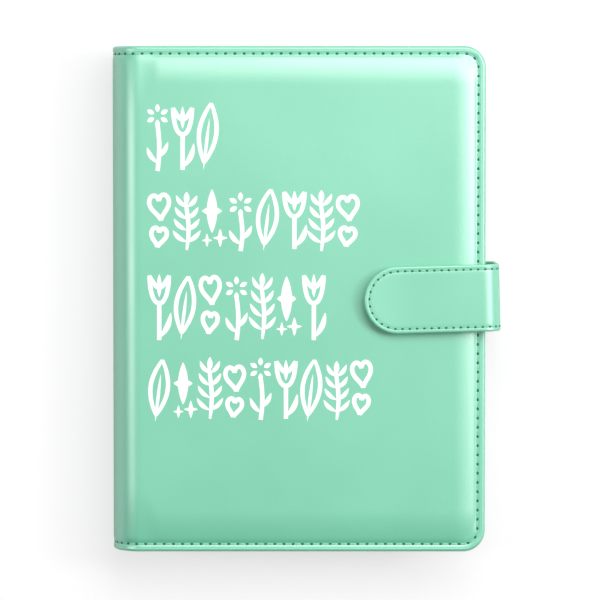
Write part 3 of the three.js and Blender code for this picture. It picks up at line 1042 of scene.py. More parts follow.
@dataclass
class Print:
    """White hand-drawn motifs on the front cover, as thin film strokes of one width."""

    stroke: float = 2.0
    film: float = 0.05
    crown: float = 0.4
    film_step: float = 0.002
    sunk: float = 0.02
    motif_share: float = 0.72
    parts: list[tuple[np.ndarray, np.ndarray]] = field(default_factory=list)

    def ribbon(self, line: np.ndarray, width: np.ndarray) -> None:
        """Adds a stroke: a flat closed band along a line, slightly raised in its middle.

        Strokes that cross differ a little in height, so that no two faces share a plane.

        Args:
            line: The stroke's middle, in millimetres on the cover.
            width: Its width at each point.
        """
        tangent = np.gradient(line, axis=0)
        tangent = tangent / np.maximum(np.linalg.norm(tangent, axis=1, keepdims=True), 1e-9)
        out = np.stack([-tangent[:, 1], tangent[:, 0]], axis=1)
        share = np.linspace(-0.5, 0.5, 5)
        flat = line[:, None, :] + out[:, None, :] * (width[:, None] * share[None, :])[..., None]
        lift = self.film * (1 + self.crown * (1 - (2 * share) ** 2))
        lift = lift + self.film_step * (len(self.parts) % 9)
        top = np.concatenate(
            [flat, np.broadcast_to(LAYOUT.top + lift, flat.shape[:2])[..., None]], axis=-1
        )
        foot = top.copy()
        foot[..., 2] = LAYOUT.top - self.sunk
        self.parts.append(closed_shell(top, foot))

    def curve(self, x: np.ndarray, y: np.ndarray, taper: float = 0.0) -> None:
        """Adds a stroke of the usual width along a curve.

        Args:
            x: Places across, one for each point of the curve.
            y: Places along.
            taper: How much the stroke thins towards its ends.
        """
        t = np.linspace(0, 1, len(x))
        width = self.stroke * (1 - taper * np.abs(2 * t - 1) ** 3)
        self.ribbon(np.stack([x, y], axis=1), width)

    def blade(
        self,
        start: tuple[float, float],
        end: tuple[float, float],
        wide: float,
        bow: float = 0.0,
    ) -> None:
        """Adds a filled leaf: its width follows a sine from end to end.

        Args:
            start: Where it begins.
            end: Where it ends.
            wide: Its greatest width.
            bow: How far its middle bends sideways.
        """
        t = np.linspace(0, 1, 24)
        a, b = np.array(start), np.array(end)
        side = np.array([-(b - a)[1], (b - a)[0]]) / np.linalg.norm(b - a)
        line = a + (b - a) * t[:, None] + side * (bow * np.sin(math.pi * t))[:, None]
        self.ribbon(line, wide * np.sin(math.pi * t) ** 0.8 + 0.02)

    def heart(self, x: float, y: float, w: float, h: float, tilt: float) -> None:
        """Adds a heart's outline, the usual sine cubed against a sum of cosines.

        Args:
            x: Its middle across.
            y: Its middle along.
            w: Its width.
            h: Its height.
            tilt: How far it leans, in radians.
        """
        a = 2 * math.pi * np.linspace(0, 1, 120) + math.pi
        u = np.sin(a) ** 3 * w / 2
        v = (13 * np.cos(a) - 5 * np.cos(2 * a) - 2 * np.cos(3 * a) - np.cos(4 * a)) / 29 * h
        v = v + 0.08 * h
        c, s = math.cos(tilt), math.sin(tilt)
        self.curve(x + c * u - s * v, y + s * u + c * v)

    def bloom(self, spot: Spot) -> None:
        """Adds a daisy of filled petals on a stem with two leaves.

        Args:
            spot: Where it stands.
        """
        x, foot, w, h = spot.x, spot.foot, spot.w, spot.h
        radius = w * 0.62
        top = foot + h - radius
        t = np.linspace(0, 1, 40)
        self.curve(x + 0.8 * np.sin(3 * t), foot + (top - radius * 0.9 - foot) * t)
        inner, outer = radius * 0.34, radius * 1.05
        for k in range(6):
            lean = 2 * math.pi * (k + 0.5) / 6
            c, s = math.cos(lean), math.sin(lean)
            self.blade((x + c * inner, top + s * inner), (x + c * outer, top + s * outer), w * 0.26)
        self.blade((x, foot + h * 0.2), (x + w * 0.58, foot + h * 0.44), w * 0.26, -0.8)
        self.blade((x, foot + h * 0.12), (x - w * 0.58, foot + h * 0.36), w * 0.26, 0.8)

    def tall_leaf(self, spot: Spot) -> None:
        """Adds an upright leaf's outline with its vein, leaning a little.

        Args:
            spot: Where it stands.
        """
        x, y = spot.x, spot.foot + spot.h * 0.54
        size, wide, lean = spot.h * 0.9, spot.w * 0.95, math.pi / 2 - 0.12
        c, s = math.cos(lean), math.sin(lean)
        t = np.linspace(0, 1, 50)
        u = (t - 0.5) * size
        for sign in (1.0, -1.0):
            v = sign * wide / 2 * np.sin(math.pi * t) ** 0.9
            self.curve(x + c * u - s * v, y + s * u + c * v, 0.3)
        back = (x - c * size * 0.62, y - s * size * 0.62)
        self.blade(back, (x + c * size * 0.25, y + s * size * 0.25), 1.5)

    def sprig(self, spot: Spot) -> None:
        """Adds an upright stem with pairs of filled leaves.

        Args:
            spot: Where it stands.
        """
        x, foot, w, h = spot.x, spot.foot, spot.w, spot.h
        t = np.linspace(0, 1, 50)
        self.curve(x + 0.1 * w * np.sin(4 * t), foot + h * 0.9 * t, 0.5)
        for k in range(4):
            y = foot + h * (0.14 + 0.2 * k)
            size = w * (0.72 - 0.06 * k)
            self.blade((x, y), (x + size, y + h * 0.2), w * 0.24, -0.8)
            self.blade((x, y), (x - size, y + h * 0.2), w * 0.24, 0.8)
        self.blade((x, foot + h * 0.78), (x, foot + h), w * 0.3)

    def tulip(self, spot: Spot) -> None:
        """Adds a tulip: the outline of a cup with three points on a stem with one leaf.

        Args:
            spot: Where it stands.
        """
        x, foot, w, h = spot.x, spot.foot, spot.w, spot.h
        cup = foot + h * 0.56
        size = h * 0.44
        t = np.linspace(0, 1, 30)
        u = np.linspace(0, 1, 20)
        for sign in (-1.0, 1.0):
            side = sign * w * 0.52
            outside = side * np.sin(math.pi * 0.5 * (1 - t)) ** 0.55
            self.curve(x + outside, cup + size * 0.95 * (1 - t) ** 1.3)
            self.curve(x + side * (1 - u), cup + size * (0.95 - 0.42 * np.sin(math.pi / 2 * u)), 0.3)
        self.blade((x, cup + 0.2 * size), (x, cup + size), w * 0.26)
        self.curve(np.full_like(u, x), foot + (cup - foot) * u)
        self.blade((x, foot + 1), (x + w * 0.62, foot + h * 0.42), w * 0.3, -1.2)

    def hearts(self, spot: Spot) -> None:
        """Adds a heart's outline over a smaller one."""
        self.heart(spot.x, spot.foot + spot.h * 0.71, spot.w * 1.02, spot.h * 0.42, 0.1)
        self.heart(
            spot.x - spot.w * 0.06, spot.foot + spot.h * 0.22, spot.w * 0.8, spot.h * 0.32, -0.12
        )

    def sparkles(self, spot: Spot) -> None:
        """Adds a large four-pointed sparkle with two small ones.

        Args:
            spot: Where they stand.
        """
        for dx, dy, size in ((-0.08, 0.62, 0.72), (0.34, 0.18, 0.3), (-0.34, 0.14, 0.22)):
            cx, cy, tall = spot.x + dx * spot.w, spot.foot + dy * spot.h, size * spot.h
            self.blade((cx, cy - tall / 2), (cx, cy + tall / 2), tall * 0.24)
            wide = min(tall * 0.4, spot.w * 0.52)
            self.blade((cx - wide, cy), (cx + wide, cy), tall * 0.2)

    def build(self, material: bpy.types.Material) -> bpy.types.Object:
        """Draws the four rows of motifs, a little uneven in foot and height as by hand.

        Args:
            material: The white film.

        Returns:
            The object.
        """
        draw = {
            "b": self.bloom,
            "l": self.tall_leaf,
            "s": self.sprig,
            "t": self.tulip,
            "h": self.hearts,
            "k": self.sparkles,
        }
        for row in PRINT_ROWS:
            pitch = (row.right - row.left) / len(row.motifs)
            for k, key in enumerate(row.motifs):
                middle = row.left + pitch * (k + 0.5)
                tall = row.high - row.low - 1.3 * (k % 2)
                draw[key](Spot(middle, row.low + 0.5 * (k % 3), pitch * self.motif_share, tall))
        points, quads = join_parts(self.parts)
        film = make_object("print_front", points, quads, material, sharp=50.0)
        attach(film, "front_cover")
        return film


# Inside pieces


def toward_edge(first: float, last: float, radius: float, count: int) -> np.ndarray:
    """Chooses places from first to last that crowd together in the last corner radius.

    Args:
        first: The first place.
        last: The last place.
        radius: The corner radius.
        count: Number of places on the straight.

    Returns:
        The places.
    """
    bend = last - radius + radius * np.sin(np.linspace(0, math.pi / 2, 10))
    return np.concatenate([np.linspace(first, last - radius, count), bend[1:]])


def round_corners(x: np.ndarray, y: np.ndarray, last: float, radius: float) -> np.ndarray:
    """Draws the rows together near the fore edge so that the outline's corners are round.

    At a place x the half length is less by the radius minus the circle's height there.

    Args:
        x: Places across.
        y: Places along, up to the half length.
        last: Where the fore edge stands.
        radius: The corner radius.

    Returns:
        The new places along.
    """
    half = np.abs(y).max()
    over = np.clip(x - (last - radius), 0, radius)
    return y * (half - radius + np.sqrt(radius**2 - over**2)) / half


def edge_stations(
    first: float, last: float, edge: float, count: int, bend: int = 5
) -> np.ndarray:
    """Chooses places from end to end, closer together in the two rounded edges.

    In an edge they stand at the radius times one less the cosines of even angles.

    Args:
        first: The first place.
        last: The last place.
        edge: Radius of the edges.
        count: Number of places between the edges.
        bend: Number of angles in each edge.

    Returns:
        The places.
    """
    near = edge * (1 - np.cos(np.linspace(0, math.pi / 2, bend)))
    inner = np.linspace(first + edge, last - edge, count)
    return np.concatenate([first + near[:-1], inner, last - near[-2::-1]])


def slab(
    x: tuple[float, float],
    y: tuple[float, float],
    z: tuple[float, float],
    edge: float,
    bow: float = 0.0,
    cells: tuple[int, int] = (24, 30),
) -> tuple[np.ndarray, np.ndarray]:
    """Makes a thin sheet with rounded edges that bows a little in its middle.

    Args:
        x: Its two ends across.
        y: Its two ends along.
        z: Its two faces.
        edge: Radius of its edges.
        bow: How far its middle stands out along z.
        cells: Number of cells across and along.

    Returns:
        The points and quads.
    """
    gx, gy = np.meshgrid(edge_stations(*x, edge, cells[0]), edge_stations(*y, edge, cells[1]))
    away = np.minimum(np.minimum(gx - x[0], x[1] - gx), np.minimum(gy - y[0], y[1] - gy))
    away = np.clip(away / edge, 0, 1)
    full = np.sqrt(np.clip(1 - (1 - away) ** 2, 0, 1))
    half = abs(z[1] - z[0]) / 2
    share_x = (gx - x[0]) / (x[1] - x[0])
    share_y = (gy - y[0]) / (y[1] - y[0])
    crown = bow * np.clip(16 * share_x * (1 - share_x) * share_y * (1 - share_y), 0, 1) ** 0.6
    middle = (z[0] + z[1]) / 2 + crown
    upper = np.stack([gx, gy, middle + half * full], axis=-1)
    lower = np.stack([gx, gy, middle - half * full], axis=-1)
    return closed_shell(upper, lower)


def tube(
    line: np.ndarray, across: np.ndarray, radius: float, sides: int = 16, cap: int = 5
) -> tuple[np.ndarray, np.ndarray]:
    """Sweeps a round wire along a flat curve and rounds its ends.

    Args:
        line: The wire's middle.
        across: The direction square to the curve's plane.
        radius: The wire's radius.
        sides: Points round the wire.
        cap: Rows in each rounded end.

    Returns:
        The points and quads.
    """
    tangent = unit_rows(np.gradient(line, axis=0))
    a = np.linspace(0, math.pi / 2, cap)
    first = line[0] - tangent[0] * radius * np.cos(a)[:, None]
    last = line[-1] + tangent[-1] * radius * np.sin(a)[:, None]
    middle = np.concatenate([first, line[1:-1], last])
    ends = np.concatenate([np.repeat(tangent[:1], cap, 0), tangent[1:-1]])
    direction = np.concatenate([ends, np.repeat(tangent[-1:], cap, 0)])
    size = np.concatenate([np.sin(a), np.ones(len(line) - 2), np.cos(a)]) * radius
    side = np.cross(direction, across)
    u = np.linspace(0, 2 * math.pi, sides, endpoint=False)
    ring = side[:, None, :] * np.cos(u)[None, :, None] + across * np.sin(u)[None, :, None]
    points = middle[:, None, :] + ring * size[:, None, None]
    return points.reshape(-1, 3), grid_quads(len(middle), sides, wrap=True)


def lathe(
    profile: np.ndarray, centre: tuple[float, float], sides: int = 48
) -> tuple[np.ndarray, np.ndarray]:
    """Turns a profile of radius and height about an upright axis.

    Args:
        profile: Radius and height of each point, closed on the axis.
        centre: The axis in the plan.
        sides: Points round the axis.

    Returns:
        The points and quads.
    """
    u = np.linspace(0, 2 * math.pi, sides, endpoint=False)
    x = centre[0] + profile[:, :1] * np.cos(u)
    y = centre[1] + profile[:, :1] * np.sin(u)
    z = np.broadcast_to(profile[:, 1:], x.shape)
    points = np.stack([x, y, z], axis=-1)
    return points.reshape(-1, 3), grid_quads(len(profile), sides, wrap=True)


@dataclass(frozen=True)
class Linings:
    """The thin linings of both covers; the front one takes the spine as well."""

    gap: float = 2.25
    thick: float = 0.5
    end_gap: float = 0.6
    panel_start: float = -60.0
    near_fold: float = 8.0
    settle_run: float = 5.0
    spine_step: float = 2.0

    def face(self, side: Side, under: float) -> np.ndarray:
        """Works out a face of the lining: flat on the panel and round inside the spine.

        Between the spine and the panel the height eases over from one to the other.

        Args:
            side: The cover.
            under: Distance in under the lining's hidden face.

        Returns:
            The grid of points.
        """
        low, high = box_mm("front_lining")
        end = high[0]
        flat = low[2] + self.thick - under
        shape = CoverShape(side)
        last = math.pi if side is Side.FRONT else 0.0
        phi = even_angles(SPLIT_PHI, last, self.spine_step)
        y = np.linspace(-high[1] + self.end_gap, high[1] - self.end_gap, 60)
        phi_grid, y_grid = np.meshgrid(phi, y)
        drop = np.full_like(phi_grid, self.gap + under)
        spine, _ = shape.spine_point(phi_grid, y_grid, drop)
        corner = LAYOUT.corner - (LAYOUT.fore - end)
        near_fold = np.linspace(LAYOUT.fold, LAYOUT.fold + self.near_fold, 9)[1:]
        x = np.concatenate([near_fold, toward_edge(self.panel_start, end, corner, 40)])
        x_grid, y_panel = np.meshgrid(x, y)
        y_panel = round_corners(x_grid, y_panel, end, corner)
        tall = LAYOUT.border + shape.pad(np.full_like(y_panel, LAYOUT.fold), y_panel)
        near = tall - self.gap - under
        share = ease((x_grid - LAYOUT.fold) / self.settle_run)
        z = height(side, near + (flat - near) * share)
        panel = np.stack([x_grid, y_panel, z], axis=-1)
        return np.concatenate([spine, panel], axis=1)

    def build(self, material: bpy.types.Material) -> None:
        """Builds the two linings; the front one stays where it is built and the back one goes on the
        back cover's body.

        Args:
            material: The lining's leather.
        """
        for side, name, nodes in (
            (Side.FRONT, "lining_front_and_spine", ("front_lining", "spine_lining")),
            (Side.BACK, "lining_back", ("back_lining",)),
        ):
            points, quads = closed_shell(self.face(side, 0.0), self.face(side, self.thick))
            lining = make_object(name, points, quads, material)
            settle_cover(lining, side)
            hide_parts(*nodes)
            log.info("built %s", name)


@dataclass(frozen=True)
class Pockets:
    """Three card pockets in the front cover and a document pocket in the back cover."""

    edge: float = 0.24
    narrow_bow: float = 0.12
    wide_bow: float = 0.35
    seam_inset: float = 2.0
    seam_step: float = 0.5

    def seam(
        self, low: np.ndarray, high: np.ndarray, outward: float
    ) -> list[tuple[np.ndarray, np.ndarray]]:
        """Traces the seam round three sides of a pocket and the hem along its mouth.

        Args:
            low: The pocket's lowest corner.
            high: Its highest corner.
            outward: 1 when its open face looks up and -1 when it looks down.

        Returns:
            Dense points and normals of the seam and of the hem.
        """
        left, foot = low[0] + self.seam_inset, low[1] + self.seam_inset
        right, mouth = high[0] - self.seam_inset, high[1] - self.seam_inset
        run_x = np.arange(left, right, self.seam_step)
        run_y = np.arange(foot, mouth, self.seam_step)
        sides = [
            np.stack([np.full_like(run_y, left), run_y[::-1]], 1),
            np.stack([run_x, np.full_like(run_x, foot)], 1),
            np.stack([np.full_like(run_y, right), run_y], 1),
        ]
        hem = np.stack([run_x, np.full_like(run_x, mouth)], 1)
        face = low[2] if outward < 0 else high[2]
        lines = []
        for flat in (np.concatenate(sides), hem):
            line = np.concatenate([flat, np.full((len(flat), 1), face)], axis=1)
            normal = np.zeros_like(line)
            normal[:, 2] = outward
            lines.append((line, normal))
        return lines

    def build(self, material: bpy.types.Material, thread: bpy.types.Material) -> None:
        """Builds each pocket's sheet, which bows off the lining, and its stitches.

        Args:
            material: The pockets' leather.
            thread: Their thread.
        """
        for node, body, bow in (
            ("card_pocket_1", "front_cover", -self.narrow_bow),
            ("card_pocket_2", "front_cover", -self.narrow_bow),
            ("card_pocket_3", "front_cover", -self.wide_bow),
            ("document_pocket", "back_cover", self.wide_bow),
        ):
            low, high = box_mm(node)
            x, y, z = zip(low, high)
            pocket = make_object(f"{node}_sheet", *slab(x, y, z, self.edge, bow), material)
            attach(pocket, body)
            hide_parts(node)
            lines = self.seam(low, high, math.copysign(1.0, bow))
            sewn = [POCKET_STITCH.meshes(line, normal)[0] for line, normal in lines]
            seam = make_object(f"{node}_thread", *join_parts(sewn), thread)
            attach(seam, body)
            log.info("built %s", node)


@dataclass(frozen=True)
class Padding:
    """The foam between each board and its leather, crowned as the cover is."""

    corner: float = 9.0
    leather_gap: float = 0.1
    board_gap: float = 0.05
    least: float = 0.06

    def build(self, material: bpy.types.Material) -> None:
        """Builds the foam under each cover's leather as a crowned sheet.

        Args:
            material: The foam.
        """
        for side, node, body in (
            (Side.FRONT, "front_foam_pad", "front_cover"),
            (Side.BACK, "back_foam_pad", "back_cover"),
        ):
            low, high = box_mm(node)
            shape = CoverShape(side)
            across = toward_edge(low[0], high[0], self.corner, 50)
            gx, gy = np.meshgrid(across, np.linspace(low[1], high[1], 80))
            gy = round_corners(gx, gy, float(high[0]), self.corner)
            top = LAYOUT.border + shape.pad(gx, gy) - LAYOUT.leather - self.leather_gap
            base = LAYOUT.border - LAYOUT.leather - self.board_gap
            upper = np.stack([gx, gy, height(side, np.maximum(top, base + self.least))], axis=-1)
            lower = np.stack([gx, gy, height(side, np.full_like(gx, base))], axis=-1)
            foam = make_object(f"{node}_foam", *closed_shell(upper, lower), material)
            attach(foam, body)
            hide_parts(node)
            log.info("built %s", node)


@dataclass(frozen=True)
class Rings:
    """Six rings, each of two half rings of round wire on the rails' own bodies."""

    wire: float = 1.25
    radius: float = 10.25
    gap: float = math.radians(0.84)
    rail_gap: float = 0.1
    count: int = 6

    def centre(self) -> tuple[float, float]:
        """The rings' middle in x and z."""
        _, high = box_mm("half_ring_front_1")
        return float(high[0]) - self.radius - self.wire, LAYOUT.mid

    def build(self, material: bpy.types.Material) -> None:
        """Builds each half ring as a wire bent to an arc that ends at its rail.

        Args:
            material: The nickel.
        """
        cx, cz = self.centre()
        rail = box_mm("ring_rail_front")[1][0] + self.rail_gap
        end = math.acos((rail - cx) / self.radius)
        a = np.linspace(self.gap + self.wire / self.radius * 0.5, end, 40)
        x = cx + self.radius * np.cos(a)
        for word, sign in (("front", 1.0), ("back", -1.0)):
            for k in range(1, self.count + 1):
                node = f"half_ring_{word}_{k}"
                low, high = box_mm(node)
                y = np.full_like(a, float(low[1] + high[1]) / 2)
                line = np.stack([x, y, cz + sign * self.radius * np.sin(a)], axis=1)
                points, quads = tube(line, np.array([0.0, 1.0, 0.0]), self.wire)
                wire = make_object(f"ring_wire_{word}_{k}", points, quads, material)
                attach(wire, f"rings_{word}")
                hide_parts(node)
            log.info("built the %s half rings", word)


@dataclass(frozen=True)
class Envelopes:
    """The stack of cash envelopes on the rings, the uppermost with its closing flap."""

    leaves: int = 12
    leaf_share: float = 0.86
    reach: float = 140.0
    stack: float = 16.0
    edge: float = 0.3
    hole_arc: float = 11.1
    hole_margin: float = 6.5
    sag: float = 4.7
    sag_start: float = -53.57
    sag_run: float = 70.0
    uneven: float = 0.5
    flap_wide: float = 30.0
    flap_taper: float = 16.0
    flap_height: float = 7.3
    flap_inset: tuple[float, float] = (0.6, 0.8)
    flap_faces: tuple[float, float] = (0.18, -0.1)
    close_run: float = 75.0
    wide_start: float = 80.0

    def settled(self, x: np.ndarray) -> np.ndarray:
        """How far a leaf has eased down at each place across."""
        return self.sag * ease((x - self.sag_start) / self.sag_run)

    def start(self, h: float) -> float:
        """Where a leaf at a height from the stack's middle begins, behind its holes."""
        return Rings().centre()[0] + math.sqrt(self.hole_arc**2 - h * h) - self.hole_margin

    def leaf(self, k: int, length: float, cz: float) -> tuple[np.ndarray, np.ndarray]:
        """Makes one leaf: a sheet with rounded edges that settles towards the fore edge.

        Its rows lie close together over the run where it settles.

        Args:
            k: Its number from the bottom; it sets how far its edges stand back.
            length: The stack's half length.
            cz: The stack's middle height.

        Returns:
            The points and quads.
        """
        pitch = self.stack / self.leaves
        h = -self.stack / 2 + pitch * (k + 0.5)
        first = self.start(h)
        shy = self.uneven * ((k * 7) % 5) / 4
        last = first + self.reach - shy
        near = self.edge * (1 - np.cos(np.linspace(0, math.pi / 2, 4)))
        x = np.concatenate(
            [
                first + near[:-1],
                np.linspace(first + self.edge, first + self.close_run, 30),
                np.linspace(first + self.wide_start, last - self.edge, 14),
                last - near[-2::-1],
            ]
        )
        span = length - shy
        gx, gy = np.meshgrid(x, edge_stations(-span, span, self.edge, 24, bend=4))
        away = np.minimum(np.minimum(gx - x[0], x[-1] - gx), span - np.abs(gy))
        full = np.sqrt(np.clip(1 - (1 - np.clip(away / self.edge, 0, 1)) ** 2, 0, 1))
        half = pitch * self.leaf_share / 2
        middle = cz + h - self.settled(gx)
        upper = np.stack([gx, gy, middle + half * full], axis=-1)
        lower = np.stack([gx, gy, middle - half * full], axis=-1)
        return closed_shell(upper, lower)

    def flap(self, length: float, cz: float) -> tuple[np.ndarray, np.ndarray]:
        """Makes the closing flap along the fore side, a blunt trapezium.

        Args:
            length: The stack's half length.
            cz: The stack's middle height.

        Returns:
            The points and quads.
        """
        u, v = np.meshgrid(np.linspace(0, 1, 12), np.linspace(-1, 1, 40))
        edge = self.start(self.flap_height) + self.reach
        x = edge - self.flap_inset[0] - self.flap_wide * u
        y = v * (length - self.flap_inset[1] - self.flap_taper * u)
        z = cz + self.stack / 2 - self.settled(x)
        over, under = (np.stack([x, y, z + lift], axis=-1) for lift in self.flap_faces)
        return closed_shell(over, under)

    def build(self, paper: bpy.types.Material, seal: bpy.types.Material) -> None:
        """Builds the leaves and the flap, all on the back cover's body.

        Args:
            paper: The envelopes' paper.
            seal: The flap's paper.
        """
        length = float(box_mm("cash_envelopes")[1][1])
        cz = Rings().centre()[1]
        for k in range(self.leaves):
            leaf = make_object(f"envelope_{k + 1:02d}", *self.leaf(k, length, cz), paper)
            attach(leaf, "back_cover")
            if k == 0:
                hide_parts("cash_envelopes")
        flap = make_object("envelope_flap", *self.flap(length, cz), seal)
        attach(flap, "back_cover")
        log.info("built the envelopes")


@dataclass(frozen=True)
class Snap:
    """The snap: a socket on the front cover and a stud under the strap, both turned."""

    shank: float = 2.0
    socket_flange: float = 8.0
    socket_rim: float = 5.0
    socket_mouth: float = 2.8
    mouth_depth: float = 1.4
    stud_flange: float = 7.0
    flange_thick: float = 0.9
    cover_gap: float = 0.1
    sharp: float = 35.0

    def socket_profile(self, base: float, rim: float) -> np.ndarray:
        """Draws the socket: a shank, a domed flange and a mouth with a rolled rim.

        Args:
            base: Height of the shank's end.
            rim: Height of the rim.

        Returns:
            Radius and height of each point.
        """
        face = LAYOUT.top + self.cover_gap
        flange, mouth = self.socket_flange, self.socket_mouth
        return np.array(
            [
                (0, base),
                (self.shank, base),
                (self.shank, face),
                (flange - 0.4, face),
                (flange, face + 0.3),
                (flange - 0.3, rim - 0.5),
                (flange - 1.4, rim - 0.1),
                (self.socket_rim, rim),
                (mouth + 0.4, rim),
                (mouth, rim - 0.3),
                (mouth, rim - self.mouth_depth),
                (0, rim - self.mouth_depth),
            ]
        )

    def stud_profile(self, foot: float, top: float) -> np.ndarray:
        """Draws the stud: a rounded pin under a flat flange.

        Args:
            foot: Height of the pin's end.
            top: Height of the flange's top.

        Returns:
            Radius and height of each point.
        """
        plate = top - self.flange_thick
        flange = self.stud_flange
        return np.array(
            [
                (0, foot),
                (self.shank - 0.6, foot),
                (self.shank, foot + 0.3),
                (self.shank - 0.2, plate),
                (flange - 0.4, plate),
                (flange, plate + 0.3),
                (flange, top - 0.2),
                (flange - 0.2, top),
                (0, top),
            ]
        )

    def half(
        self,
        node: str,
        draw: Callable[[float, float], np.ndarray],
        material: bpy.types.Material,
    ) -> bpy.types.Object:
        """Turns one half on its CAD half's axis and between its heights.

        Args:
            node: The CAD half.
            draw: The method that draws the profile between two heights.
            material: The nickel.

        Returns:
            The object.
        """
        low, high = box_mm(node)
        centre = (float(low[0] + high[0]) / 2, float(low[1] + high[1]) / 2)
        points, quads = lathe(draw(float(low[2]), float(high[2])), centre)
        return make_object(f"{node}_shell", points, quads, material, sharp=self.sharp)

    def build(self, material: bpy.types.Material) -> None:
        """Builds the socket on the front cover and the stud on the strap.

        Args:
            material: The nickel.
        """
        socket = self.half("snap_socket", self.socket_profile, material)
        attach(socket, "front_cover")
        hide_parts("snap_socket")
        stud = self.half("snap_stud", self.stud_profile, material)
        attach(stud, "strap_flap")
        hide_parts("snap_stud")
        log.info("built the snap")


# Finishes


def linear(colour: Sequence[int]) -> tuple[float, float, float, float]:
    """Turns a written colour of 0 to 255 into Blender's linear values.

    Args:
        colour: Red, green and blue.

    Returns:
        The linear colour with alpha.
    """
    c = np.array(colour, float) / 255
    value = np.where(c <= 0.04045, c / 12.92, ((c + 0.055) / 1.055) ** 2.4)
    return float(value[0]), float(value[1]), float(value[2]), 1.0


class Grain(Enum):
    """The patterns that the grain group can make."""

    PEBBLE = "pebble"
    FIBRE = "fibre"


@dataclass(frozen=True)
class GrainPattern:
    """The fixed numbers of the grain: its slow tone, its fine noise and its cells."""

    scale: float = 900.0
    tone_scale: float = 22.0
    tone_detail: float = 3.0
    fine_detail: float = 4.0
    cell_smoothness: float = 0.6
    cell_weight: float = -0.7


GRAIN = GrainPattern()


def grain_group(kind: Grain) -> bpy.types.NodeTree:
    """Builds a shader group that gives a grain height and a slow change of tone.

    A fibre is a fine noise; a pebble is that noise less a share of the distance from the
    middles of smooth cells.

    Args:
        kind: The pattern.

    Returns:
        The group.
    """
    name = f"grain_{kind.value}"
    if name in bpy.data.node_groups:
        return bpy.data.node_groups[name]
    group = bpy.data.node_groups.new(name, "ShaderNodeTree")
    scale = group.interface.new_socket("Scale", in_out="INPUT", socket_type="NodeSocketFloat")
    scale.default_value = GRAIN.scale
    group.interface.new_socket("Height", in_out="OUTPUT", socket_type="NodeSocketFloat")
    group.interface.new_socket("Tone", in_out="OUTPUT", socket_type="NodeSocketFloat")
    nodes, links = group.nodes, group.links
    entry = nodes.new("NodeGroupInput")
    leave = nodes.new("NodeGroupOutput")
    place = nodes.new("ShaderNodeTexCoord")
    slow = nodes.new("ShaderNodeTexNoise")
    slow.inputs["Scale"].default_value = GRAIN.tone_scale
    slow.inputs["Detail"].default_value = GRAIN.tone_detail
    links.new(place.outputs["Object"], slow.inputs["Vector"])
    fine = nodes.new("ShaderNodeTexNoise")
    fine.inputs["Detail"].default_value = GRAIN.fine_detail
    links.new(place.outputs["Object"], fine.inputs["Vector"])
    links.new(entry.outputs["Scale"], fine.inputs["Scale"])
    if kind is Grain.PEBBLE:
        cells = nodes.new("ShaderNodeTexVoronoi")
        cells.feature = "SMOOTH_F1"
        cells.inputs["Smoothness"].default_value = GRAIN.cell_smoothness
        links.new(place.outputs["Object"], cells.inputs["Vector"])
        links.new(entry.outputs["Scale"], cells.inputs["Scale"])
        mix = nodes.new("ShaderNodeMath")
        mix.operation = "MULTIPLY_ADD"
        mix.inputs[1].default_value = GRAIN.cell_weight
        links.new(cells.outputs["Distance"], mix.inputs[0])
        links.new(fine.outputs["Fac"], mix.inputs[2])
        links.new(mix.outputs["Value"], leave.inputs["Height"])
    else:
        links.new(fine.outputs["Fac"], leave.inputs["Height"])
    links.new(slow.outputs["Fac"], leave.inputs["Tone"])
    return group


@dataclass(frozen=True)
class Finish:
    """A surface: its colour, its gloss and its grain."""

    name: str
    colour: tuple[int, int, int]
    rough: float
    metal: float = 0.0
    kind: Grain = Grain.PEBBLE
    scale: float = 900.0
    bump: float = 0.2
    depth: float = 0.0001
    shade: float = 0.05
    specular: float = 0.5
    ior: float = 1.5
    gloss_spread: float = 0.05
    least_rough: float = 0.02

    def build(self) -> bpy.types.Material:
        """Builds the material: tone moves the colour and the roughness, grain the normal.

        Returns:
            The material.
        """
        material = bpy.data.materials.new(self.name)
        material.use_nodes = True
        nodes, links = material.node_tree.nodes, material.node_tree.links
        shader = nodes["Principled BSDF"]
        shader.inputs["Metallic"].default_value = self.metal
        shader.inputs["Specular IOR Level"].default_value = self.specular
        shader.inputs["IOR"].default_value = self.ior
        grain = nodes.new("ShaderNodeGroup")
        grain.node_tree = grain_group(self.kind)
        grain.inputs["Scale"].default_value = self.scale
        base = np.array(linear(self.colour)[:3])
        mix = nodes.new("ShaderNodeMix")
        mix.data_type = "RGBA"
        mix.inputs["A"].default_value = (*(base * (1 - self.shade)), 1.0)
        mix.inputs["B"].default_value = (*np.clip(base * (1 + self.shade), 0, 1), 1.0)
        links.new(grain.outputs["Tone"], mix.inputs["Factor"])
        links.new(mix.outputs["Result"], shader.inputs["Base Color"])
        gloss = nodes.new("ShaderNodeMapRange")
        gloss.inputs["To Min"].default_value = max(
            self.rough - self.gloss_spread, self.least_rough
        )
        gloss.inputs["To Max"].default_value = self.rough + self.gloss_spread
        links.new(grain.outputs["Tone"], gloss.inputs["Value"])
        links.new(gloss.outputs["Result"], shader.inputs["Roughness"])
        bump = nodes.new("ShaderNodeBump")
        bump.inputs["Strength"].default_value = self.bump
        bump.inputs["Distance"].default_value = self.depth
        links.new(grain.outputs["Height"], bump.inputs["Height"])
        links.new(bump.outputs["Normal"], shader.inputs["Normal"])
        return material


LEATHER = Finish(
    "mint_leather", (106, 203, 166), 0.42, depth=0.00006, bump=0.25, specular=1.0, ior=1.95
)


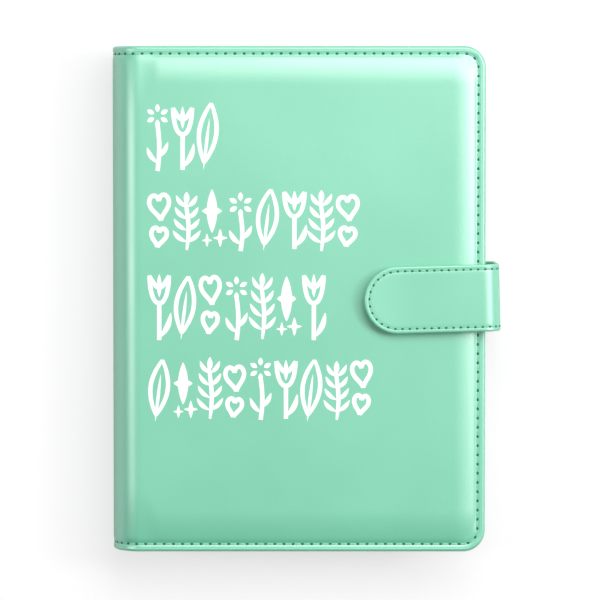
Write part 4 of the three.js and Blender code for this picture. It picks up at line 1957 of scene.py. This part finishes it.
@dataclass(frozen=True)
class Finishes:
    """Every finish of the wallet."""

    leather: Finish = LEATHER
    strap: Finish = replace(LEATHER, name="mint_strap_leather")
    thread: Finish = Finish("mint_thread", (122, 200, 168), 0.6, kind=Grain.FIBRE, scale=4000.0)
    # Painted shade: a dark colour for the beads that stand in for the shade in the needle holes.
    hole: Finish = Finish("stitch_hole", (34, 98, 76), 0.7, kind=Grain.FIBRE, scale=3000.0)
    pocket_thread: Finish = Finish("pale_thread", (214, 240, 228), 0.6, kind=Grain.FIBRE)
    ink: Finish = Finish("white_print", (250, 252, 251), 0.35, bump=0.05, shade=0.01)
    lining: Finish = Finish("mint_lining", (150, 214, 190), 0.55, scale=1500.0, bump=0.15)
    pocket: Finish = Finish("mint_pocket", (140, 208, 182), 0.48, scale=1200.0, bump=0.2)
    foam: Finish = Finish("padding_foam", (236, 232, 220), 0.9, kind=Grain.FIBRE, scale=1800.0)
    board: Finish = Finish("grey_board", (150, 146, 138), 0.9, kind=Grain.FIBRE, scale=1500.0)
    nickel: Finish = Finish(
        "bright_nickel", (214, 213, 208), 0.16, metal=1.0, kind=Grain.FIBRE, bump=0.02, shade=0.03
    )
    paper: Finish = Finish(
        "envelope_paper", (238, 226, 204), 0.8, kind=Grain.FIBRE, scale=700.0, bump=0.1, shade=0.04
    )
    seal: Finish = Finish(
        "flap_paper", (228, 213, 188), 0.8, kind=Grain.FIBRE, scale=700.0, bump=0.1, shade=0.04
    )

    def build(self) -> dict[str, bpy.types.Material]:
        """Builds every finish; the materials are listed by field name."""
        return {entry.name: getattr(self, entry.name).build() for entry in fields(self)}


# The studio


@dataclass(frozen=True)
class Lamp:
    """A rectangular lamp: its place and size in metres and its power in watts."""

    name: str
    place: tuple[float, float, float]
    size: tuple[float, float]
    power: float

    def build(self, aim: Vector) -> None:
        """Adds the lamp, turned to a point.

        Args:
            aim: The point that it faces.
        """
        data = bpy.data.lights.new(self.name, "AREA")
        data.shape = "RECTANGLE"
        data.size, data.size_y = self.size
        data.energy = self.power
        lamp = bpy.data.objects.new(self.name, data)
        lamp.location = self.place
        lamp.rotation_euler = (aim - Vector(self.place)).to_track_quat("-Z", "Y").to_euler()
        bpy.context.scene.collection.objects.link(lamp)


@dataclass(frozen=True)
class Studio:
    """White floor, soft light and a camera above the front cover.

    The camera's frame width, distance, shifts and sensor are in millimetres, and the rest
    is in metres.
    """

    frame_width: float = 272.5
    distance: float = 1600.0
    tilt: float = math.radians(2.7)
    shift_x: float = 0.70
    shift_y: float = -0.16
    sensor: float = 36.0
    far_clip: float = 50.0
    sky_dark: float = 0.0
    sky_bright: float = 0.7
    sky_lean: tuple[float, float, float] = (0.66, 0.75, 0.0)
    aim: tuple[float, float, float] = (0.0, 0.0, 0.03)
    lamps: tuple[Lamp, ...] = (
        Lamp("key", (0.33, 0.57, 1.0), (1.15, 0.6), 9.9),
        Lamp("strip", (-1.0, 0.0, 0.82), (0.2, 0.7), 4.0),
        Lamp("side", (1.0, 0.16, 0.98), (0.28, 0.36), 6.0),
    )
    floor_half: float = 3.0
    floor_rough: float = 0.9
    floor_white: float = 0.96
    floor_bounce: float = 0.22
    floor_lift: float = 0.65

    def build(self) -> None:
        """Builds the floor, the world, the lamps and the camera."""
        self.floor()
        self.world()
        for lamp in self.lamps:
            lamp.build(Vector(self.aim))
        self.camera()
        bpy.context.scene.view_settings.view_transform = "Standard"

    def floor_material(self) -> bpy.types.Material:
        """Builds the floor's white, which still takes the wallet's faint shadow.

        Camera, glossy and transmission rays see white, and other rays a grey that throws
        less light back at the wallet. Camera rays see a share of plain white light as well.

        Returns:
            The material.
        """
        material = bpy.data.materials.new("white_floor")
        material.use_nodes = True
        nodes, links = material.node_tree.nodes, material.node_tree.links
        shader = nodes["Principled BSDF"]
        shader.inputs["Roughness"].default_value = self.floor_rough
        shader.inputs["Specular IOR Level"].default_value = 0.0
        rays = nodes.new("ShaderNodeLightPath")
        mirrored = nodes.new("ShaderNodeMath")
        mirrored.operation = "MAXIMUM"
        links.new(rays.outputs["Is Glossy Ray"], mirrored.inputs[0])
        links.new(rays.outputs["Is Transmission Ray"], mirrored.inputs[1])
        seen = nodes.new("ShaderNodeMath")
        seen.operation = "MAXIMUM"
        links.new(rays.outputs["Is Camera Ray"], seen.inputs[0])
        links.new(mirrored.outputs["Value"], seen.inputs[1])
        colour = nodes.new("ShaderNodeMix")
        colour.data_type = "RGBA"
        colour.inputs["A"].default_value = (*(self.floor_bounce,) * 3, 1.0)
        colour.inputs["B"].default_value = (*(self.floor_white,) * 3, 1.0)
        links.new(seen.outputs["Value"], colour.inputs["Factor"])
        links.new(colour.outputs["Result"], shader.inputs["Base Color"])
        share = nodes.new("ShaderNodeMath")
        share.operation = "MULTIPLY"
        share.inputs[1].default_value = self.floor_lift
        links.new(rays.outputs["Is Camera Ray"], share.inputs[0])
        glow = nodes.new("ShaderNodeEmission")
        glow.inputs["Color"].default_value = (1.0, 1.0, 1.0, 1.0)
        glow.inputs["Strength"].default_value = 1.0
        mix = nodes.new("ShaderNodeMixShader")
        links.new(share.outputs["Value"], mix.inputs["Fac"])
        links.new(shader.outputs["BSDF"], mix.inputs[1])
        links.new(glow.outputs["Emission"], mix.inputs[2])
        links.new(mix.outputs["Shader"], nodes["Material Output"].inputs["Surface"])
        return material

    def floor(self) -> None:
        """Lays the white floor under the wallet."""
        half = self.floor_half
        mesh = bpy.data.meshes.new("floor")
        corners = [(-half, -half, 0), (half, -half, 0), (half, half, 0), (-half, half, 0)]
        mesh.from_pydata(corners, [], [(0, 1, 2, 3)])
        mesh.materials.append(self.floor_material())
        floor = bpy.data.objects.new("floor", mesh)
        bpy.context.scene.collection.objects.link(floor)

    def world(self) -> None:
        """Sets a soft white sky that is brighter towards the head and the fore edge."""
        world = bpy.data.worlds.new("studio_sky")
        world.use_nodes = True
        nodes, links = world.node_tree.nodes, world.node_tree.links
        sky = nodes["Background"]
        sky.inputs["Color"].default_value = (1.0, 1.0, 1.0, 1.0)
        place = nodes.new("ShaderNodeTexCoord")
        lean = nodes.new("ShaderNodeVectorMath")
        lean.operation = "DOT_PRODUCT"
        lean.inputs[1].default_value = self.sky_lean
        links.new(place.outputs["Generated"], lean.inputs[0])
        level = nodes.new("ShaderNodeMapRange")
        level.inputs["From Min"].default_value = -1.0
        level.inputs["To Min"].default_value = self.sky_dark
        level.inputs["To Max"].default_value = self.sky_bright
        links.new(lean.outputs["Value"], level.inputs["Value"])
        links.new(level.outputs["Result"], sky.inputs["Strength"])
        bpy.context.scene.world = world

    def camera(self) -> None:
        """Sets the camera nearly straight above the front cover, slightly to the head."""
        data = bpy.data.cameras.new("camera")
        data.sensor_width = self.sensor
        data.lens = self.sensor * self.distance / self.frame_width
        data.clip_end = self.far_clip
        aim = Vector((self.shift_x, self.shift_y, LAYOUT.border)) * MM
        back = Vector((0.0, math.sin(self.tilt), math.cos(self.tilt)))
        camera = bpy.data.objects.new("camera", data)
        camera.location = aim + back * self.distance * MM
        camera.rotation_euler = (-self.tilt, 0.0, 0.0)
        bpy.context.scene.collection.objects.link(camera)
        bpy.context.scene.camera = camera


# The whole wallet


CAD_FINISHES = {
    "front_board": "board",
    "back_board": "board",
    "spine_board": "board",
    "ring_base_plate": "nickel",
    "ring_rivet_head": "nickel",
    "ring_rivet_tail": "nickel",
    "ring_rail_front": "nickel",
    "ring_rail_back": "nickel",
    "opening_lever_head": "nickel",
    "opening_lever_tail": "nickel",
    "snap_washer": "nickel",
}


def dress_cad(materials: dict[str, bpy.types.Material]) -> None:
    """Gives each carried-over CAD node its finish in its own material slot.

    Args:
        materials: The built finishes by name.
    """
    for node, finish in CAD_FINISHES.items():
        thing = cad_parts[node]
        thing.data.materials.clear()
        thing.data.materials.append(materials[finish])
        log.info("dressed %s in %s", node, finish)


def main() -> None:
    """Builds the wallet, dresses the carried-over parts and sets the studio."""
    materials = Finishes().build()
    thread, hole, nickel = materials["thread"], materials["hole"], materials["nickel"]
    for side, name, node in (
        (Side.FRONT, "leather_front", "front_cover_leather"),
        (Side.BACK, "leather_back", "rear_cover_leather"),
    ):
        CoverLeather(CoverShape(side), name, node).build(materials["leather"], thread, hole)
    Strap(StrapShape()).build(materials["strap"], thread, hole)
    Print().build(materials["ink"])
    log.info("built the print")
    Linings().build(materials["lining"])
    Pockets().build(materials["pocket"], materials["pocket_thread"])
    Padding().build(materials["foam"])
    Rings().build(nickel)
    Envelopes().build(materials["paper"], materials["seal"])
    Snap().build(nickel)
    dress_cad(materials)
    Studio().build()


if __name__ == "__main__":
    main()
